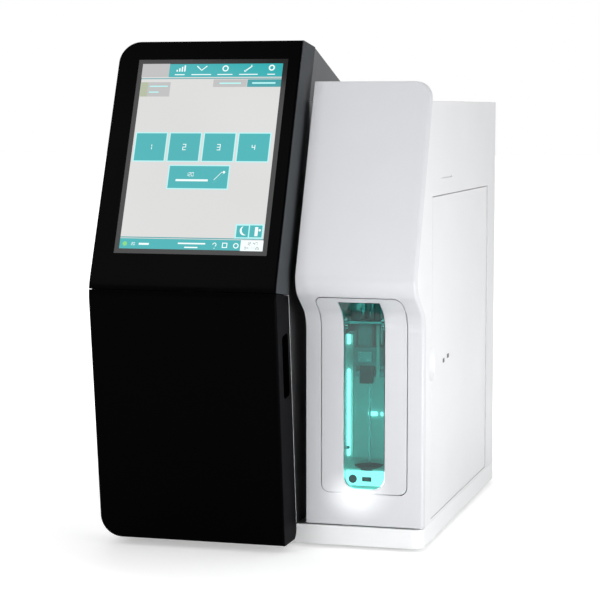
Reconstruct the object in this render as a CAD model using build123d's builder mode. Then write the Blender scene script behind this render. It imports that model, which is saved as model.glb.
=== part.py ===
"""Bench-top electrolyte analyzer.

A bent black display and door module stands proud on the left, and a white fascia with a hinged tinted sample flap
fills the right. The white housing behind them holds the fluid bay, the reagent bay and the electronics.
Units are millimetres. +Z is up, the front faces -Y, and the origin is under the middle of the bounding box.
"""

import os
from math import cos, radians, sin, tan

from build123d import *

os.makedirs("parts", exist_ok=True)

# Overall size
overall_width = 264.0
overall_depth = 389.0
overall_height = 416.0
wall = 3.0
seam_gap = 0.6
slip = 0.3
shaft_clearance = 0.05

left_x = -overall_width / 2
right_x = overall_width / 2
front_y = -overall_depth / 2
back_y = overall_depth / 2

# Base and feet
foot_height = 3.0
foot_radius = 9.0
foot_inset = 24.0
base_height = 15.6
base_setback = 4.0
base_corner_radius = 9.0
base_bottom_z = foot_height
base_top_z = base_bottom_z + base_height
body_bottom_z = base_top_z

# Black module on the left: display above the knee, door below it
module_width = 158.5
module_gap = 7.0
module_corner_radius = 18.0
module_edge_radius = 2.0
display_rise = 200.5
knee_z = overall_height - display_rise
knee_radius = 40.0
display_lean = 22.3
door_undercut = 6.9
door_bottom_z = 7.0
module_depth = 36.0
display_top_drop = 4.6
shoulder_slope = 17.2
shoulder_tip = 3.0
body_top_drop = 49.5
body_top_z = overall_height - body_top_drop

module_right_x = left_x + module_width
lean = radians(display_lean)
undercut = radians(door_undercut)
seam_fall = tan((lean - undercut) / 2)
half_bend = (lean + undercut) / 2
knee_corner_y = front_y + knee_radius - knee_radius / cos(half_bend) * cos((lean - undercut) / 2)


def display_y(z, depth=0.0):
    """Y at height z of the plane that lies depth behind the display face."""
    return knee_corner_y + (z - knee_z) * tan(lean) + depth / cos(lean)


def door_y(z, depth=0.0):
    """Y at height z of the plane that lies depth behind the door face."""
    return knee_corner_y + (knee_z - z) * tan(undercut) + depth / cos(undercut)


def seam_z(y, drop=0.0):
    """Height at y of the mitred joint between the display and the door, drop below it."""
    return knee_z - drop - (y - knee_corner_y) * seam_fall


def back_knee(depth):
    """Side-view point of the mitred joint where the planes depth behind the display and the door meet."""
    run = depth / cos(half_bend) * cos((lean - undercut) / 2)
    return knee_corner_y + run, seam_z(knee_corner_y + run)


# White fascia on the right
fascia_left_x = module_right_x + module_gap
fascia_depth = 8.0
fascia_lower_setback = 64.9
fascia_knee_setback = 27.0
fascia_top_drop = 33.5
cove_drop = 24.0
fascia_knee_lift = 1.5
fascia_lower_y = front_y + fascia_lower_setback
cove_z = knee_z - cove_drop
cove_radius = 22.0
fascia_knee_y = front_y + fascia_knee_setback
fascia_knee_z = knee_z + fascia_knee_lift
fascia_knee_radius = 18.0
fascia_lean = 21.4
fascia_top_z = overall_height - fascia_top_drop
fascia_corner_radius = 15.0
fascia_low_corner_radius = 10.0
fascia_edge_radius = 2.0
fascia_low_z = body_bottom_z + seam_gap



def save(block, label):
    """Labels a finished sub-part and writes its STEP file."""
    block.part.label = label
    export_step(block.part, f"parts/{label}.step")


def outline(points, rounded=()):
    """A closed straight-sided face, with each (point, radius) in rounded turned into a round corner."""
    with BuildSketch() as drawing:
        with BuildLine():
            Polyline(*points, close=True)
        make_face()
        for point, radius in rounded:
            fillet(drawing.vertices().sort_by_distance(Vector(*point))[0], radius)
    return drawing.sketch


def side_plane(x):
    """Plane at x whose sketches are drawn in (Y, Z) and extrude towards +X."""
    return Plane.YZ.offset(x)


def fascia_y(z, shift=0.0):
    """Y at height z of the leaning upper face of the fascia, moved back by shift."""
    return fascia_knee_y + shift + (z - fascia_knee_z) * tan(radians(fascia_lean))


def fascia_section(shift=0.0, low=fascia_low_z, high=fascia_top_z):
    """Side view of everything behind the fascia surface moved back by shift, between two heights."""
    cove = (fascia_lower_y + shift, cove_z)
    knee = (fascia_knee_y + shift, fascia_knee_z)
    points = [
        (back_y, low),
        (fascia_lower_y + shift, low),
        cove,
        knee,
        (fascia_y(high, shift), high),
        (back_y, high),
    ]
    return outline(points, ((cove, cove_radius), (knee, fascia_knee_radius)))


# Display housing: a leaning shell, open at the back, with a window for the touch screen
screen_width = 121.6
screen_height = 162.1
screen_left = 22.2
screen_rise = 34.3
glass_border = 4.0
glass_thickness = 2.0
panel_thickness = 7.0
panel_border = 5.0
display_wall = 3.0

display_face = Plane(
    origin=(left_x + screen_left + screen_width / 2, knee_corner_y, knee_z),
    x_dir=(1, 0, 0),
    z_dir=(0, -cos(lean), sin(lean)),
)
screen_centre = (0.0, screen_rise + screen_height / 2)


def module_section(inset=0.0, extra_depth=0.0):
    """Side view of the whole black module, inset behind its faces and extended at the back."""
    knee = back_knee(inset)
    low_z = door_bottom_z + inset
    high_z = overall_height - inset
    back = module_depth + extra_depth
    points = [
        (door_y(low_z, module_depth + extra_depth), low_z),
        (door_y(low_z, inset), low_z),
        knee,
        (display_y(high_z, inset), high_z),
        (display_y(high_z - display_top_drop, back), high_z - display_top_drop),
        back_knee(back),
    ]
    return outline(points, ((knee, knee_radius - inset),))


def half_above_seam(drop=0.0):
    """Side-view half plane above the mitred joint, drop below it."""
    near, far, above = front_y - knee_radius, back_y, 2 * overall_height
    return outline([(near, seam_z(near, drop)), (far, seam_z(far, drop)), (far, above), (near, above)])


def half_below_seam(drop=0.0):
    """Side-view half plane below the mitred joint, drop below it."""
    near, far, beneath = front_y - knee_radius, back_y, -overall_height
    return outline([(near, seam_z(near, drop)), (near, beneath), (far, beneath), (far, seam_z(far, drop))])


def module_front_edges(block):
    """The long left and right edges of the front face of a piece of the black module."""
    def lies_in_front(edge):
        middle = edge.center()
        return middle.Y < max(display_y(middle.Z), door_y(middle.Z)) + module_edge_radius

    sides = block.edges().group_by(Axis.X)
    return (sides[0] + sides[-1]).filter_by(lies_in_front)


with BuildPart() as display_cavity:
    with BuildSketch(side_plane(left_x + display_wall)):
        add(module_section(display_wall, wall * 4))
        add(half_above_seam(-display_wall), mode=Mode.INTERSECT)
    extrude(amount=module_width - 2 * display_wall)
    crown_edges = display_cavity.edges().filter_by(GeomType.LINE).group_by(Axis.X)[0].group_by(Axis.Z)[-1]
    fillet(crown_edges, module_corner_radius - display_wall)

with BuildPart() as display_housing:
    with BuildSketch(side_plane(left_x)):
        add(module_section())
        add(half_above_seam(), mode=Mode.INTERSECT)
    extrude(amount=module_width)
    crown_edges = display_housing.edges().filter_by(GeomType.LINE).group_by(Axis.X)[0].group_by(Axis.Z)[-1]
    fillet(crown_edges, module_corner_radius)
    fillet(module_front_edges(display_housing), module_edge_radius)
    add(display_cavity.part, mode=Mode.SUBTRACT)
    with BuildSketch(display_face):
        with Locations(screen_centre):
            Rectangle(screen_width + 2 * glass_border, screen_height + 2 * glass_border)
    extrude(amount=-glass_thickness, mode=Mode.SUBTRACT)
    with BuildSketch(display_face):
        with Locations(screen_centre):
            Rectangle(screen_width, screen_height)
    extrude(amount=-2 * display_wall, mode=Mode.SUBTRACT)
save(display_housing, "display_housing")

with BuildPart() as touch_glass:
    with BuildSketch(display_face):
        with Locations(screen_centre):
            Rectangle(screen_width + 2 * (glass_border - slip), screen_height + 2 * (glass_border - slip))
    extrude(amount=-glass_thickness)
save(touch_glass, "touch_glass")

with BuildPart() as display_panel:
    with BuildSketch(display_face.offset(-display_wall)):
        with Locations(screen_centre):
            Rectangle(screen_width + 2 * panel_border, screen_height + 2 * panel_border)
    extrude(amount=-panel_thickness)
    with BuildSketch(display_face.offset(-glass_thickness)):
        with Locations(screen_centre):
            Rectangle(screen_width - 2 * slip, screen_height - 2 * slip)
    extrude(amount=-(display_wall - glass_thickness))
save(display_panel, "display_panel")

board_thickness = 1.6
controller_width = 100.0
controller_height = 80.0
controller_gap = 5.0
chip_size = 14.0
chip_length = 19.6
post_radius = 3.0
post_sides = 6
chip_height = 2.0

with BuildPart() as display_controller:
    board_face = display_face.offset(-display_wall - panel_thickness - controller_gap)
    with BuildSketch(board_face):
        with Locations(screen_centre):
            Rectangle(controller_width, controller_height)
    extrude(amount=-board_thickness)
    with BuildSketch(board_face):
        with Locations(screen_centre):
            with GridLocations(controller_width - chip_size, controller_height - chip_size, 2, 2):
                RegularPolygon(post_radius, post_sides)
    extrude(amount=controller_gap)
    with BuildSketch(board_face.offset(-board_thickness)):
        with Locations(screen_centre):
            with GridLocations(controller_width / 3, controller_height / 3, 3, 2):
                Rectangle(chip_size, chip_size)
    extrude(amount=-chip_height)
save(display_controller, "display_controller")

# Shoulder cover: a wedge hood that carries the display back onto the housing top
shoulder_inset = 0.8
shoulder_low_z = body_top_z
shoulder_start_z = overall_height - display_top_drop
shoulder_start_y = display_y(shoulder_start_z, module_depth + seam_gap)
shoulder_end_y = shoulder_start_y + (shoulder_start_z - shoulder_low_z - shoulder_tip) / tan(radians(shoulder_slope))


def shoulder_section(inset=0.0, extra=0.0):
    """Side view of the shoulder wedge, inset from its slope and extended past its open front and bottom."""
    slope = tan(radians(shoulder_slope))
    drop = inset / cos(radians(shoulder_slope))
    front_y_high = display_y(shoulder_start_z, module_depth + seam_gap - extra)
    front_z = shoulder_start_z - drop - (front_y_high - shoulder_start_y) * slope
    low_z = shoulder_low_z - extra
    front_y_low = display_y(low_z, module_depth + seam_gap - extra)
    tail_y = shoulder_end_y - inset
    tail_z = shoulder_start_z - drop - (tail_y - shoulder_start_y) * slope
    return outline([(front_y_low, low_z), (front_y_high, front_z), (tail_y, tail_z), (tail_y, low_z)])


with BuildPart() as shoulder_cavity:
    with BuildSketch(side_plane(left_x + shoulder_inset + wall)):
        add(shoulder_section(wall, wall))
    extrude(amount=module_width - 2 * shoulder_inset - 2 * wall)
    outer_ridge = shoulder_cavity.faces().sort_by(Axis.Z)[-1].edges().sort_by(Axis.X)[0]
    fillet(outer_ridge, module_corner_radius - shoulder_inset - wall)

with BuildPart() as shoulder_cover:
    with BuildSketch(side_plane(left_x + shoulder_inset)):
        add(shoulder_section())
    extrude(amount=module_width - 2 * shoulder_inset)
    outer_ridge = shoulder_cover.faces().sort_by(Axis.Z)[-1].edges().sort_by(Axis.X)[0]
    fillet(outer_ridge, module_corner_radius - shoulder_inset)
    add(shoulder_cavity.part, mode=Mode.SUBTRACT)
save(shoulder_cover, "shoulder_cover")

# Front door: the lower half of the black module, hinged inside its left rear corner
hinge_radius = 7.0
hinge_pin_radius = 1.6
hinge_eye_radius = 3.4
hinge_arm_height = 8.0
hinge_lug_height = 5.0
hinge_top_drop = 40.0
hinge_bottom_lift = 58.5
hinge_arm_reach = 12.0
hinge_arm_thickness = 4.0
hinge_relief_radius = 12.5
hinge_relief_depth = 2.0
door_recess_drop = 35.5
door_recess_height = 52.0
recess_radius = 4.0
door_recess_high_z = knee_z - door_recess_drop
door_recess_low_z = door_recess_high_z - door_recess_height
door_recess_width = 17.0
door_recess_depth = 9.0
door_recess_setback = 13.0
recess_wall = 2.2

door_axis = Plane(
    origin=(left_x + hinge_radius, door_y(knee_z, module_depth - hinge_radius), knee_z),
    x_dir=(1, 0, 0),
    z_dir=(0, -sin(undercut), cos(undercut)),
)
hinge_heights = (door_bottom_z + hinge_bottom_lift - knee_z, -hinge_top_drop)


def door_edges(block):
    """The long left edges of the door: the rear one that turns round the hinge, and the bottom corner."""
    left_face = block.faces().sort_by(Axis.X)[0]
    rear = left_face.edges().sort_by(Axis.Y)[-1]
    low = left_face.edges().sort_by(Axis.Z)[0]
    return rear, low


with BuildPart() as door_cavity:
    with BuildSketch(side_plane(left_x + wall)):
        add(module_section(wall, wall * 4))
        add(half_below_seam(seam_gap + wall), mode=Mode.INTERSECT)
    extrude(amount=module_width - 2 * wall)
    low_edge = door_cavity.faces().sort_by(Axis.X)[0].edges().sort_by(Axis.Z)[0]
    fillet(low_edge, module_corner_radius - wall)

recess_middle_z = (door_recess_low_z + door_recess_high_z) / 2
recess_height = door_recess_high_z - door_recess_low_z
recess_middle_y = door_y(recess_middle_z, door_recess_setback + door_recess_width / 2)
recess_tilt = 90 + door_undercut

with BuildPart() as front_door:
    with BuildSketch(side_plane(left_x)):
        add(module_section())
        add(half_below_seam(seam_gap), mode=Mode.INTERSECT)
    extrude(amount=module_width)
    rear_edge, low_edge = door_edges(front_door)
    fillet(low_edge, module_corner_radius)
    rear_edge, low_edge = door_edges(front_door)
    fillet(rear_edge, hinge_radius - slip)
    fillet(module_front_edges(front_door), module_edge_radius)
    add(door_cavity.part, mode=Mode.SUBTRACT)
    with BuildSketch(side_plane(module_right_x - wall)):
        with Locations(Location((recess_middle_y, recess_middle_z), recess_tilt)):
            RectangleRounded(recess_height + 2 * recess_wall, door_recess_width + 2 * recess_wall, recess_radius + recess_wall)
    extrude(amount=-(door_recess_depth + recess_wall - wall))
    with BuildSketch(side_plane(module_right_x)):
        with Locations(Location((recess_middle_y, recess_middle_z), recess_tilt)):
            RectangleRounded(recess_height, door_recess_width, recess_radius)
    extrude(amount=-door_recess_depth, mode=Mode.SUBTRACT)
    relief_drop = knee_z - seam_z(door_axis.origin.Y, seam_gap) + hinge_relief_depth
    with BuildSketch(door_axis.offset(-relief_drop)):
        Circle(hinge_relief_radius)
    extrude(amount=relief_drop, mode=Mode.SUBTRACT)
    for height in hinge_heights:
        for side in (-1, 1):
            lug_low = height + side * (hinge_arm_height / 2 + slip) - (hinge_lug_height if side < 0 else 0)
            with BuildSketch(door_axis.offset(lug_low)):
                Circle(hinge_radius - wall)
                with Locations((-(hinge_radius - wall) / 2, 0)):
                    Rectangle(hinge_radius - wall, 2 * (hinge_radius - wall))
                with Locations((0, -(module_depth - hinge_radius - wall) / 2)):
                    Rectangle(2 * (hinge_radius - wall), module_depth - hinge_radius - wall)
                Circle(hinge_pin_radius + shaft_clearance, mode=Mode.SUBTRACT)
            extrude(amount=hinge_lug_height)
save(front_door, "front_door")

with BuildPart() as door_hinge_pins:
    for height in hinge_heights:
        pin_low = height - hinge_arm_height / 2 - slip - hinge_lug_height
        with BuildSketch(door_axis.offset(pin_low)):
            Circle(hinge_pin_radius)
        extrude(amount=hinge_arm_height + 2 * slip + 2 * hinge_lug_height)
save(door_hinge_pins, "door_hinge_pins")

# White housing behind everything: a shell that is open to the front, the back and the base tray
body_inset = 1.0
body_gap = 1.0
slot_setback = 2.0
body_edge_radius = 1.5
side_door_front_setback = 31.6
side_door_back_setback = 39.5
side_door_low_lift = 3.4
side_door_top_drop = 78.5
side_door_gap = 0.7
side_hinge_gap = 1.2
grip_drop = 138.0
grip_half_height = 13.0
grip_depth = 5.5
grip_shell = 2.2
side_mark_lift = 15.0
side_mark_setback = 34.0
side_mark_length = 45.0
side_mark_width = 1.2
side_door_front_y = fascia_lower_y + side_door_front_setback
side_door_back_y = back_y - side_door_back_setback
side_door_low_z = body_bottom_z + side_door_low_lift
side_door_high_z = body_top_z - side_door_top_drop
grip_z = side_door_high_z - grip_drop
rear_panel_thickness = 3.0

body_left_x = left_x + body_inset
slot_floor_y = display_y(body_top_z, module_depth + body_gap) + slot_setback


def left_body_section(inset=0.0, ahead=0.0, below=0.0):
    """Side view of the housing behind the black module, inset at its top and extended ahead and below."""
    low_z = body_bottom_z - below
    high_z = body_top_z - inset
    display_back = module_depth - ahead
    door_back = display_back + body_gap
    return outline(
        [
            (back_y + below, low_z),
            (door_y(low_z, door_back), low_z),
            back_knee(door_back),
            back_knee(display_back),
            (display_y(high_z, display_back), high_z),
            (back_y + below, high_z),
        ]
    )


def right_body_section(inset=0.0, ahead=0.0, below=0.0):
    """Side view of the housing behind the fascia, inset at its top and extended ahead and below."""
    shift = fascia_depth - ahead
    low_z = body_bottom_z - below
    high_z = body_top_z - inset
    cove = (fascia_lower_y + shift, cove_z)
    knee = (fascia_knee_y + shift, fascia_knee_z)
    points = [
        (back_y + below, low_z),
        (cove[0], low_z),
        cove,
        knee,
        (fascia_y(high_z, shift), high_z),
        (back_y + below, high_z),
    ]
    return outline(points, ((cove, cove_radius), (knee, fascia_knee_radius)))


with BuildPart() as body_cavity:
    with BuildSketch(side_plane(body_left_x + wall)):
        add(left_body_section(wall, wall * 3, wall * 3))
    extrude(amount=module_right_x - wall - body_left_x - wall)
    with BuildSketch(side_plane(fascia_left_x + wall)):
        add(right_body_section(wall, wall * 3, wall * 3))
    extrude(amount=right_x - wall - fascia_left_x - wall)
    with BuildSketch(side_plane(module_right_x - 2 * wall)):
        with BuildLine():
            Polyline(
                (slot_floor_y + wall, body_bottom_z - wall),
                (back_y + wall, body_bottom_z - wall),
                (back_y + wall, body_top_z - wall),
                (slot_floor_y + wall, body_top_z - wall),
                close=True,
            )
        make_face()
    extrude(amount=module_gap + 4 * wall)

# A fingertip dish lies across the side door's front edge, half in the door and half in the housing
grip_ball_radius = (grip_half_height**2 + grip_depth**2) / (2 * grip_depth)
grip_ball_x = right_x - grip_depth + grip_ball_radius

with BuildPart() as grip_ball:
    with Locations((grip_ball_x, side_door_front_y, grip_z)):
        Sphere(grip_ball_radius)

with BuildPart() as body_dish:
    with Locations((grip_ball_x, side_door_front_y, grip_z)):
        Sphere(grip_ball_radius + grip_shell)
    split(bisect_by=Plane.YZ.offset(right_x - wall / 2), keep=Keep.BOTTOM)
    split(bisect_by=Plane.XZ.offset(side_door_gap - side_door_front_y), keep=Keep.TOP)

with BuildPart() as body_shell:
    with BuildSketch(side_plane(body_left_x)):
        add(left_body_section())
    extrude(amount=module_right_x - body_left_x)
    left_edges = body_shell.edges().group_by(Axis.X)[0]
    fillet(left_edges.sort_by(Axis.Z)[1:], body_edge_radius)
    with BuildSketch(side_plane(fascia_left_x)):
        add(right_body_section())
    extrude(amount=right_x - fascia_left_x)
    with BuildSketch(side_plane(module_right_x - wall)):
        with BuildLine():
            Polyline(
                (slot_floor_y, body_bottom_z),
                (back_y, body_bottom_z),
                (back_y, body_top_z),
                (slot_floor_y, body_top_z),
                close=True,
            )
        make_face()
    extrude(amount=module_gap + 2 * wall)
    add(body_cavity.part, mode=Mode.SUBTRACT)
    with BuildSketch(side_plane(right_x - 2 * wall)):
        with BuildLine():
            Polyline(
                (side_door_front_y - side_door_gap, side_door_low_z - side_door_gap),
                (side_door_back_y + side_hinge_gap, side_door_low_z - side_door_gap),
                (side_door_back_y + side_hinge_gap, side_door_high_z + side_door_gap),
                (side_door_front_y - side_door_gap, side_door_high_z + side_door_gap),
                close=True,
            )
        make_face()
    extrude(amount=3 * wall, mode=Mode.SUBTRACT)
    add(body_dish.part)
    add(grip_ball.part, mode=Mode.SUBTRACT)
    with BuildSketch(side_plane(right_x - wall / 3)):
        with Locations(
            (side_door_front_y + side_mark_setback + side_mark_length / 2, side_door_high_z + side_mark_lift)
        ):
            SlotOverall(side_mark_length, side_mark_width)
    extrude(amount=wall, mode=Mode.SUBTRACT)
save(body_shell, "body_shell")

with BuildPart() as base_tray:
    with BuildSketch(Plane.XY.offset(base_bottom_z)):
        with BuildLine():
            Polyline(
                (body_left_x, fascia_lower_y - base_setback),
                (right_x, fascia_lower_y - base_setback),
                (right_x, back_y),
                (body_left_x, back_y),
                close=True,
            )
        tray_face = make_face()
        fillet(tray_face.vertices().group_by(Axis.Y)[0], base_corner_radius)
    extrude(amount=base_height)
    offset(amount=-wall, openings=base_tray.faces().sort_by(Axis.Z)[-1])
save(base_tray, "base_tray")

with BuildPart() as feet:
    with BuildSketch(Plane.XY):
        with Locations(((body_left_x + right_x) / 2, (fascia_lower_y - base_setback + back_y) / 2)):
            foot_span_x = right_x - body_left_x - 2 * foot_inset
            foot_span_y = back_y - fascia_lower_y + base_setback - 2 * foot_inset
            with GridLocations(foot_span_x, foot_span_y, 2, 2):
                Circle(foot_radius)
    extrude(amount=foot_height)
    chamfer(feet.edges().group_by(Axis.Z)[0], 0.8)
save(feet, "feet")

# White fascia: one moulded slab that steps forward over the sample window
insert_left_margin = 12.5
insert_right_margin = 13.2
insert_border = 3.5
insert_radius = 7.0
window_width = 34.8
window_low_lift = 30.4
window_low_radius = 10.5
groove = 0.7
flap_gap = 0.7
flap_thickness = 2.4
flap_pivot_setback = 6.0
flap_pivot_drop = 4.5
flap_top_reach = 31.0
flap_rod_radius = 1.5
flap_eye_radius = 3.6
flap_eye_width = 2.5
flap_rod_grip = 5.0

insert_left = fascia_left_x + insert_left_margin
insert_right = right_x - insert_right_margin
window_left = (insert_left + insert_right - window_width) / 2
window_right = window_left + window_width
window_low_z = body_bottom_z + window_low_lift
insert_low_z = window_low_z - insert_border
flap_pivot_y = fascia_lower_y + flap_pivot_setback
flap_pivot_z = cove_z - flap_pivot_drop
window_straight_z = flap_pivot_z + flap_top_reach / 2
insert_high_z = window_straight_z + 2 * insert_border


def front_plane(y):
    """Plane at y whose sketches are drawn in (X, Z) and extrude towards -Y."""
    return Plane.XZ.offset(-y)


def rounded_window(left, right, low, high, low_radius, high_radius=0.0):
    """Upright rectangle with its own radius for the lower and the upper corners."""
    with BuildSketch() as drawing:
        with BuildLine():
            Polyline((left, low), (right, low), (right, high), (left, high), close=True)
        make_face()
        fillet(drawing.vertices().group_by(Axis.Y)[0], low_radius)
        if high_radius:
            fillet(drawing.vertices().group_by(Axis.Y)[-1], high_radius)
    return drawing.sketch


def flap_swing(reach):
    """Side view of the round space that the upper end of the flap sweeps about its rod."""
    with BuildSketch() as drawing:
        with Locations((flap_pivot_y, flap_pivot_z)):
            Circle(reach)
            with Locations((0, -reach)):
                Rectangle(2 * reach, 2 * reach, mode=Mode.SUBTRACT)
    return drawing.sketch


with BuildPart() as fascia_slab:
    with BuildSketch(side_plane(fascia_left_x)):
        add(fascia_section())
    extrude(amount=right_x - fascia_left_x)
    with BuildSketch(front_plane(back_y)):
        with BuildLine():
            Polyline(
                (fascia_left_x, fascia_low_z),
                (right_x, fascia_low_z),
                (right_x, fascia_top_z),
                (fascia_left_x, fascia_top_z),
                close=True,
            )
        front_face = make_face()
        fillet(front_face.vertices().group_by(Axis.Y)[-1].sort_by(Axis.X)[-1], fascia_corner_radius)
        fillet(front_face.vertices().group_by(Axis.Y)[0].sort_by(Axis.X)[-1], fascia_low_corner_radius)
    extrude(amount=overall_depth, mode=Mode.INTERSECT)
    front_right_edges = fascia_slab.edges().group_by(Axis.X)[-1].filter_by(lambda edge: edge.center().Y < 0)
    fillet(front_right_edges.filter_by(Axis.Y, reverse=True), fascia_edge_radius)

with BuildPart() as fascia_hollow:
    with BuildSketch(side_plane(fascia_left_x - wall)):
        add(fascia_section(fascia_depth, 0, overall_height))
    extrude(amount=right_x - fascia_left_x + 2 * wall)

with BuildPart() as front_fascia:
    add(fascia_slab.part)
    add(fascia_hollow.part, mode=Mode.SUBTRACT)
    with BuildSketch(front_plane(fascia_lower_y + 2 * fascia_depth)):
        add(rounded_window(insert_left, insert_right, insert_low_z, insert_high_z, insert_radius, insert_radius))
    extrude(amount=overall_depth / 4, mode=Mode.SUBTRACT)
save(front_fascia, "front_fascia")

with BuildPart() as fascia_insert:
    add(fascia_slab.part)
    add(fascia_hollow.part, mode=Mode.SUBTRACT)
    with BuildSketch(front_plane(fascia_lower_y + 2 * fascia_depth)):
        add(
            rounded_window(
                insert_left + groove,
                insert_right - groove,
                insert_low_z + groove,
                insert_high_z - groove,
                insert_radius - groove,
                insert_radius - groove,
            )
        )
    extrude(amount=overall_depth / 4, mode=Mode.INTERSECT)
    with BuildSketch(front_plane(fascia_lower_y + 2 * fascia_depth)):
        add(rounded_window(window_left, window_right, window_low_z, window_straight_z, window_low_radius))
    extrude(amount=overall_depth / 4, mode=Mode.SUBTRACT)
    with BuildSketch(side_plane(window_left)):
        add(flap_swing(flap_top_reach + flap_gap))
    extrude(amount=window_right - window_left, mode=Mode.SUBTRACT)
    with BuildSketch(side_plane(window_left - flap_rod_grip)):
        with Locations((flap_pivot_y, flap_pivot_z)):
            Circle(flap_rod_radius + shaft_clearance)
    extrude(amount=window_right - window_left + 2 * flap_rod_grip, mode=Mode.SUBTRACT)
save(fascia_insert, "fascia_insert")

# Tinted sample flap, hung from a rod behind the upper end of the window
with BuildPart() as flap_hollow:
    with BuildSketch(side_plane(window_left - wall)):
        add(fascia_section(flap_thickness, 0, overall_height))
    extrude(amount=window_right - window_left + 2 * wall)

with BuildPart() as sample_flap:
    add(fascia_slab.part)
    add(flap_hollow.part, mode=Mode.SUBTRACT)
    with BuildSketch(front_plane(fascia_lower_y + 2 * fascia_depth)):
        add(
            rounded_window(
                window_left + flap_gap,
                window_right - flap_gap,
                window_low_z + flap_gap,
                insert_high_z,
                window_low_radius - flap_gap,
            )
        )
    extrude(amount=overall_depth / 4, mode=Mode.INTERSECT)
    with BuildSketch(side_plane(window_left)):
        with Locations((fascia_knee_y, flap_pivot_z + flap_top_reach)):
            Rectangle(4 * flap_top_reach, 2 * flap_top_reach)
        add(flap_swing(flap_top_reach), mode=Mode.SUBTRACT)
    extrude(amount=window_right - window_left, mode=Mode.SUBTRACT)
    for eye_x in (window_left + flap_gap, window_right - flap_gap - flap_eye_width):
        with BuildSketch(side_plane(eye_x)):
            with Locations((flap_pivot_y, flap_pivot_z)):
                Circle(flap_eye_radius)
            with BuildLine():
                Polyline(
                    (fascia_lower_y + flap_thickness / 2, flap_pivot_z - 2 * flap_eye_radius),
                    (flap_pivot_y, flap_pivot_z - flap_eye_radius),
                    (flap_pivot_y, flap_pivot_z + flap_eye_radius),
                    (fascia_lower_y + flap_thickness / 2 - 2, cove_z),
                    close=True,
                )
            make_face()
            with Locations((flap_pivot_y, flap_pivot_z)):
                Circle(flap_rod_radius + shaft_clearance, mode=Mode.SUBTRACT)
        extrude(amount=flap_eye_width)
save(sample_flap, "sample_flap")

with BuildPart() as flap_rod:
    with BuildSketch(side_plane(window_left - flap_rod_grip + slip)):
        with Locations((flap_pivot_y, flap_pivot_z)):
            Circle(flap_rod_radius)
    extrude(amount=window_right - window_left + 2 * flap_rod_grip - 2 * slip)
save(flap_rod, "flap_rod")

# Sampler behind the window: a bright channel, a shelf with a drain well, and a needle that rises on two rods
liner_wall = 2.0
liner_depth = 29.0
liner_corner_radius = 4.0
liner_top_drop = 15.5
liner_notch_height = 38.0
shelf_lift = 7.0
shelf_thickness = 9.0
shelf_rise = 5.0
shelf_setback = 9.6
well_radius = 12.5
well_depth = 7.0
cup_wall = 1.4
needle_setback = 21.1
needle_radius = 0.9
needle_clearance = 2.0
needle_taper_length = 3.0
needle_taper = 12.0
rod_radius = 2.5
rod_spacing = 16.0
rod_setback = 9.0
rod_rise = 48.5
bracket_thickness = 4.0
bracket_margin = 2.5
carriage_lift = 10.0
carriage_gap = 1.5
carriage_nose = 7.0
carriage_height = 15.0
carriage_width = 26.0
probe_body_width = 12.0
probe_body_shift = 3.0
probe_body_depth = 10.0
probe_body_radius = 1.5
needle_stub = 6.0
probe_body_height = 22.0
frame_thickness = 2.0
screw_radius = 2.0
motor_size = 24.0
motor_height = 26.0
motor_corner_radius = 3.0
motor_boss_radius = 7.0
motor_boss_height = 1.5

shelf_low_z = window_low_z + shelf_lift
shelf_front_z = shelf_low_z + shelf_thickness
shelf_back_z = shelf_front_z + shelf_rise
shelf_front_y = fascia_lower_y + shelf_setback
needle_y = fascia_lower_y + needle_setback
needle_tip_z = shelf_front_z + needle_clearance
liner_top_z = cove_z - liner_top_drop
liner_notch_low_z = liner_top_z - liner_notch_height
rod_y = needle_y + rod_setback
rod_low_z = liner_notch_low_z + bracket_thickness / 2
rod_high_z = knee_z + rod_rise
carriage_low_z = rod_low_z + carriage_lift
frame_high_z = rod_high_z + bracket_thickness

window_middle = (window_left + window_right) / 2
liner_left = window_left - flap_gap - liner_wall
liner_right = window_right + flap_gap + liner_wall
liner_front_y = fascia_lower_y + fascia_depth
liner_back_y = liner_front_y + liner_depth
liner_low_z = window_low_z - liner_wall

with BuildPart() as sampler_liner:
    with BuildSketch(Plane.XY.offset(liner_low_z)):
        with BuildLine():
            Polyline(
                (liner_left, liner_front_y),
                (liner_right, liner_front_y),
                (liner_right, liner_back_y),
                (liner_left, liner_back_y),
                close=True,
            )
        make_face()
    extrude(amount=liner_top_z - liner_low_z)
    with BuildSketch(Plane.XY.offset(window_low_z)):
        with BuildLine():
            Polyline(
                (liner_left + liner_wall, liner_front_y - wall),
                (liner_right - liner_wall, liner_front_y - wall),
                (liner_right - liner_wall, liner_back_y - liner_wall),
                (liner_left + liner_wall, liner_back_y - liner_wall),
                close=True,
            )
        channel = make_face()
        fillet(channel.vertices().group_by(Axis.Y)[-1], liner_corner_radius)
    extrude(amount=liner_top_z, mode=Mode.SUBTRACT)
    with BuildSketch(front_plane(liner_back_y + wall)):
        with Locations((window_middle, (liner_notch_low_z + liner_top_z + wall) / 2)):
            Rectangle(carriage_width + 2 * bracket_margin, liner_top_z + wall - liner_notch_low_z)
    extrude(amount=2 * wall + liner_wall, mode=Mode.SUBTRACT)
save(sampler_liner, "sampler_liner")

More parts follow.
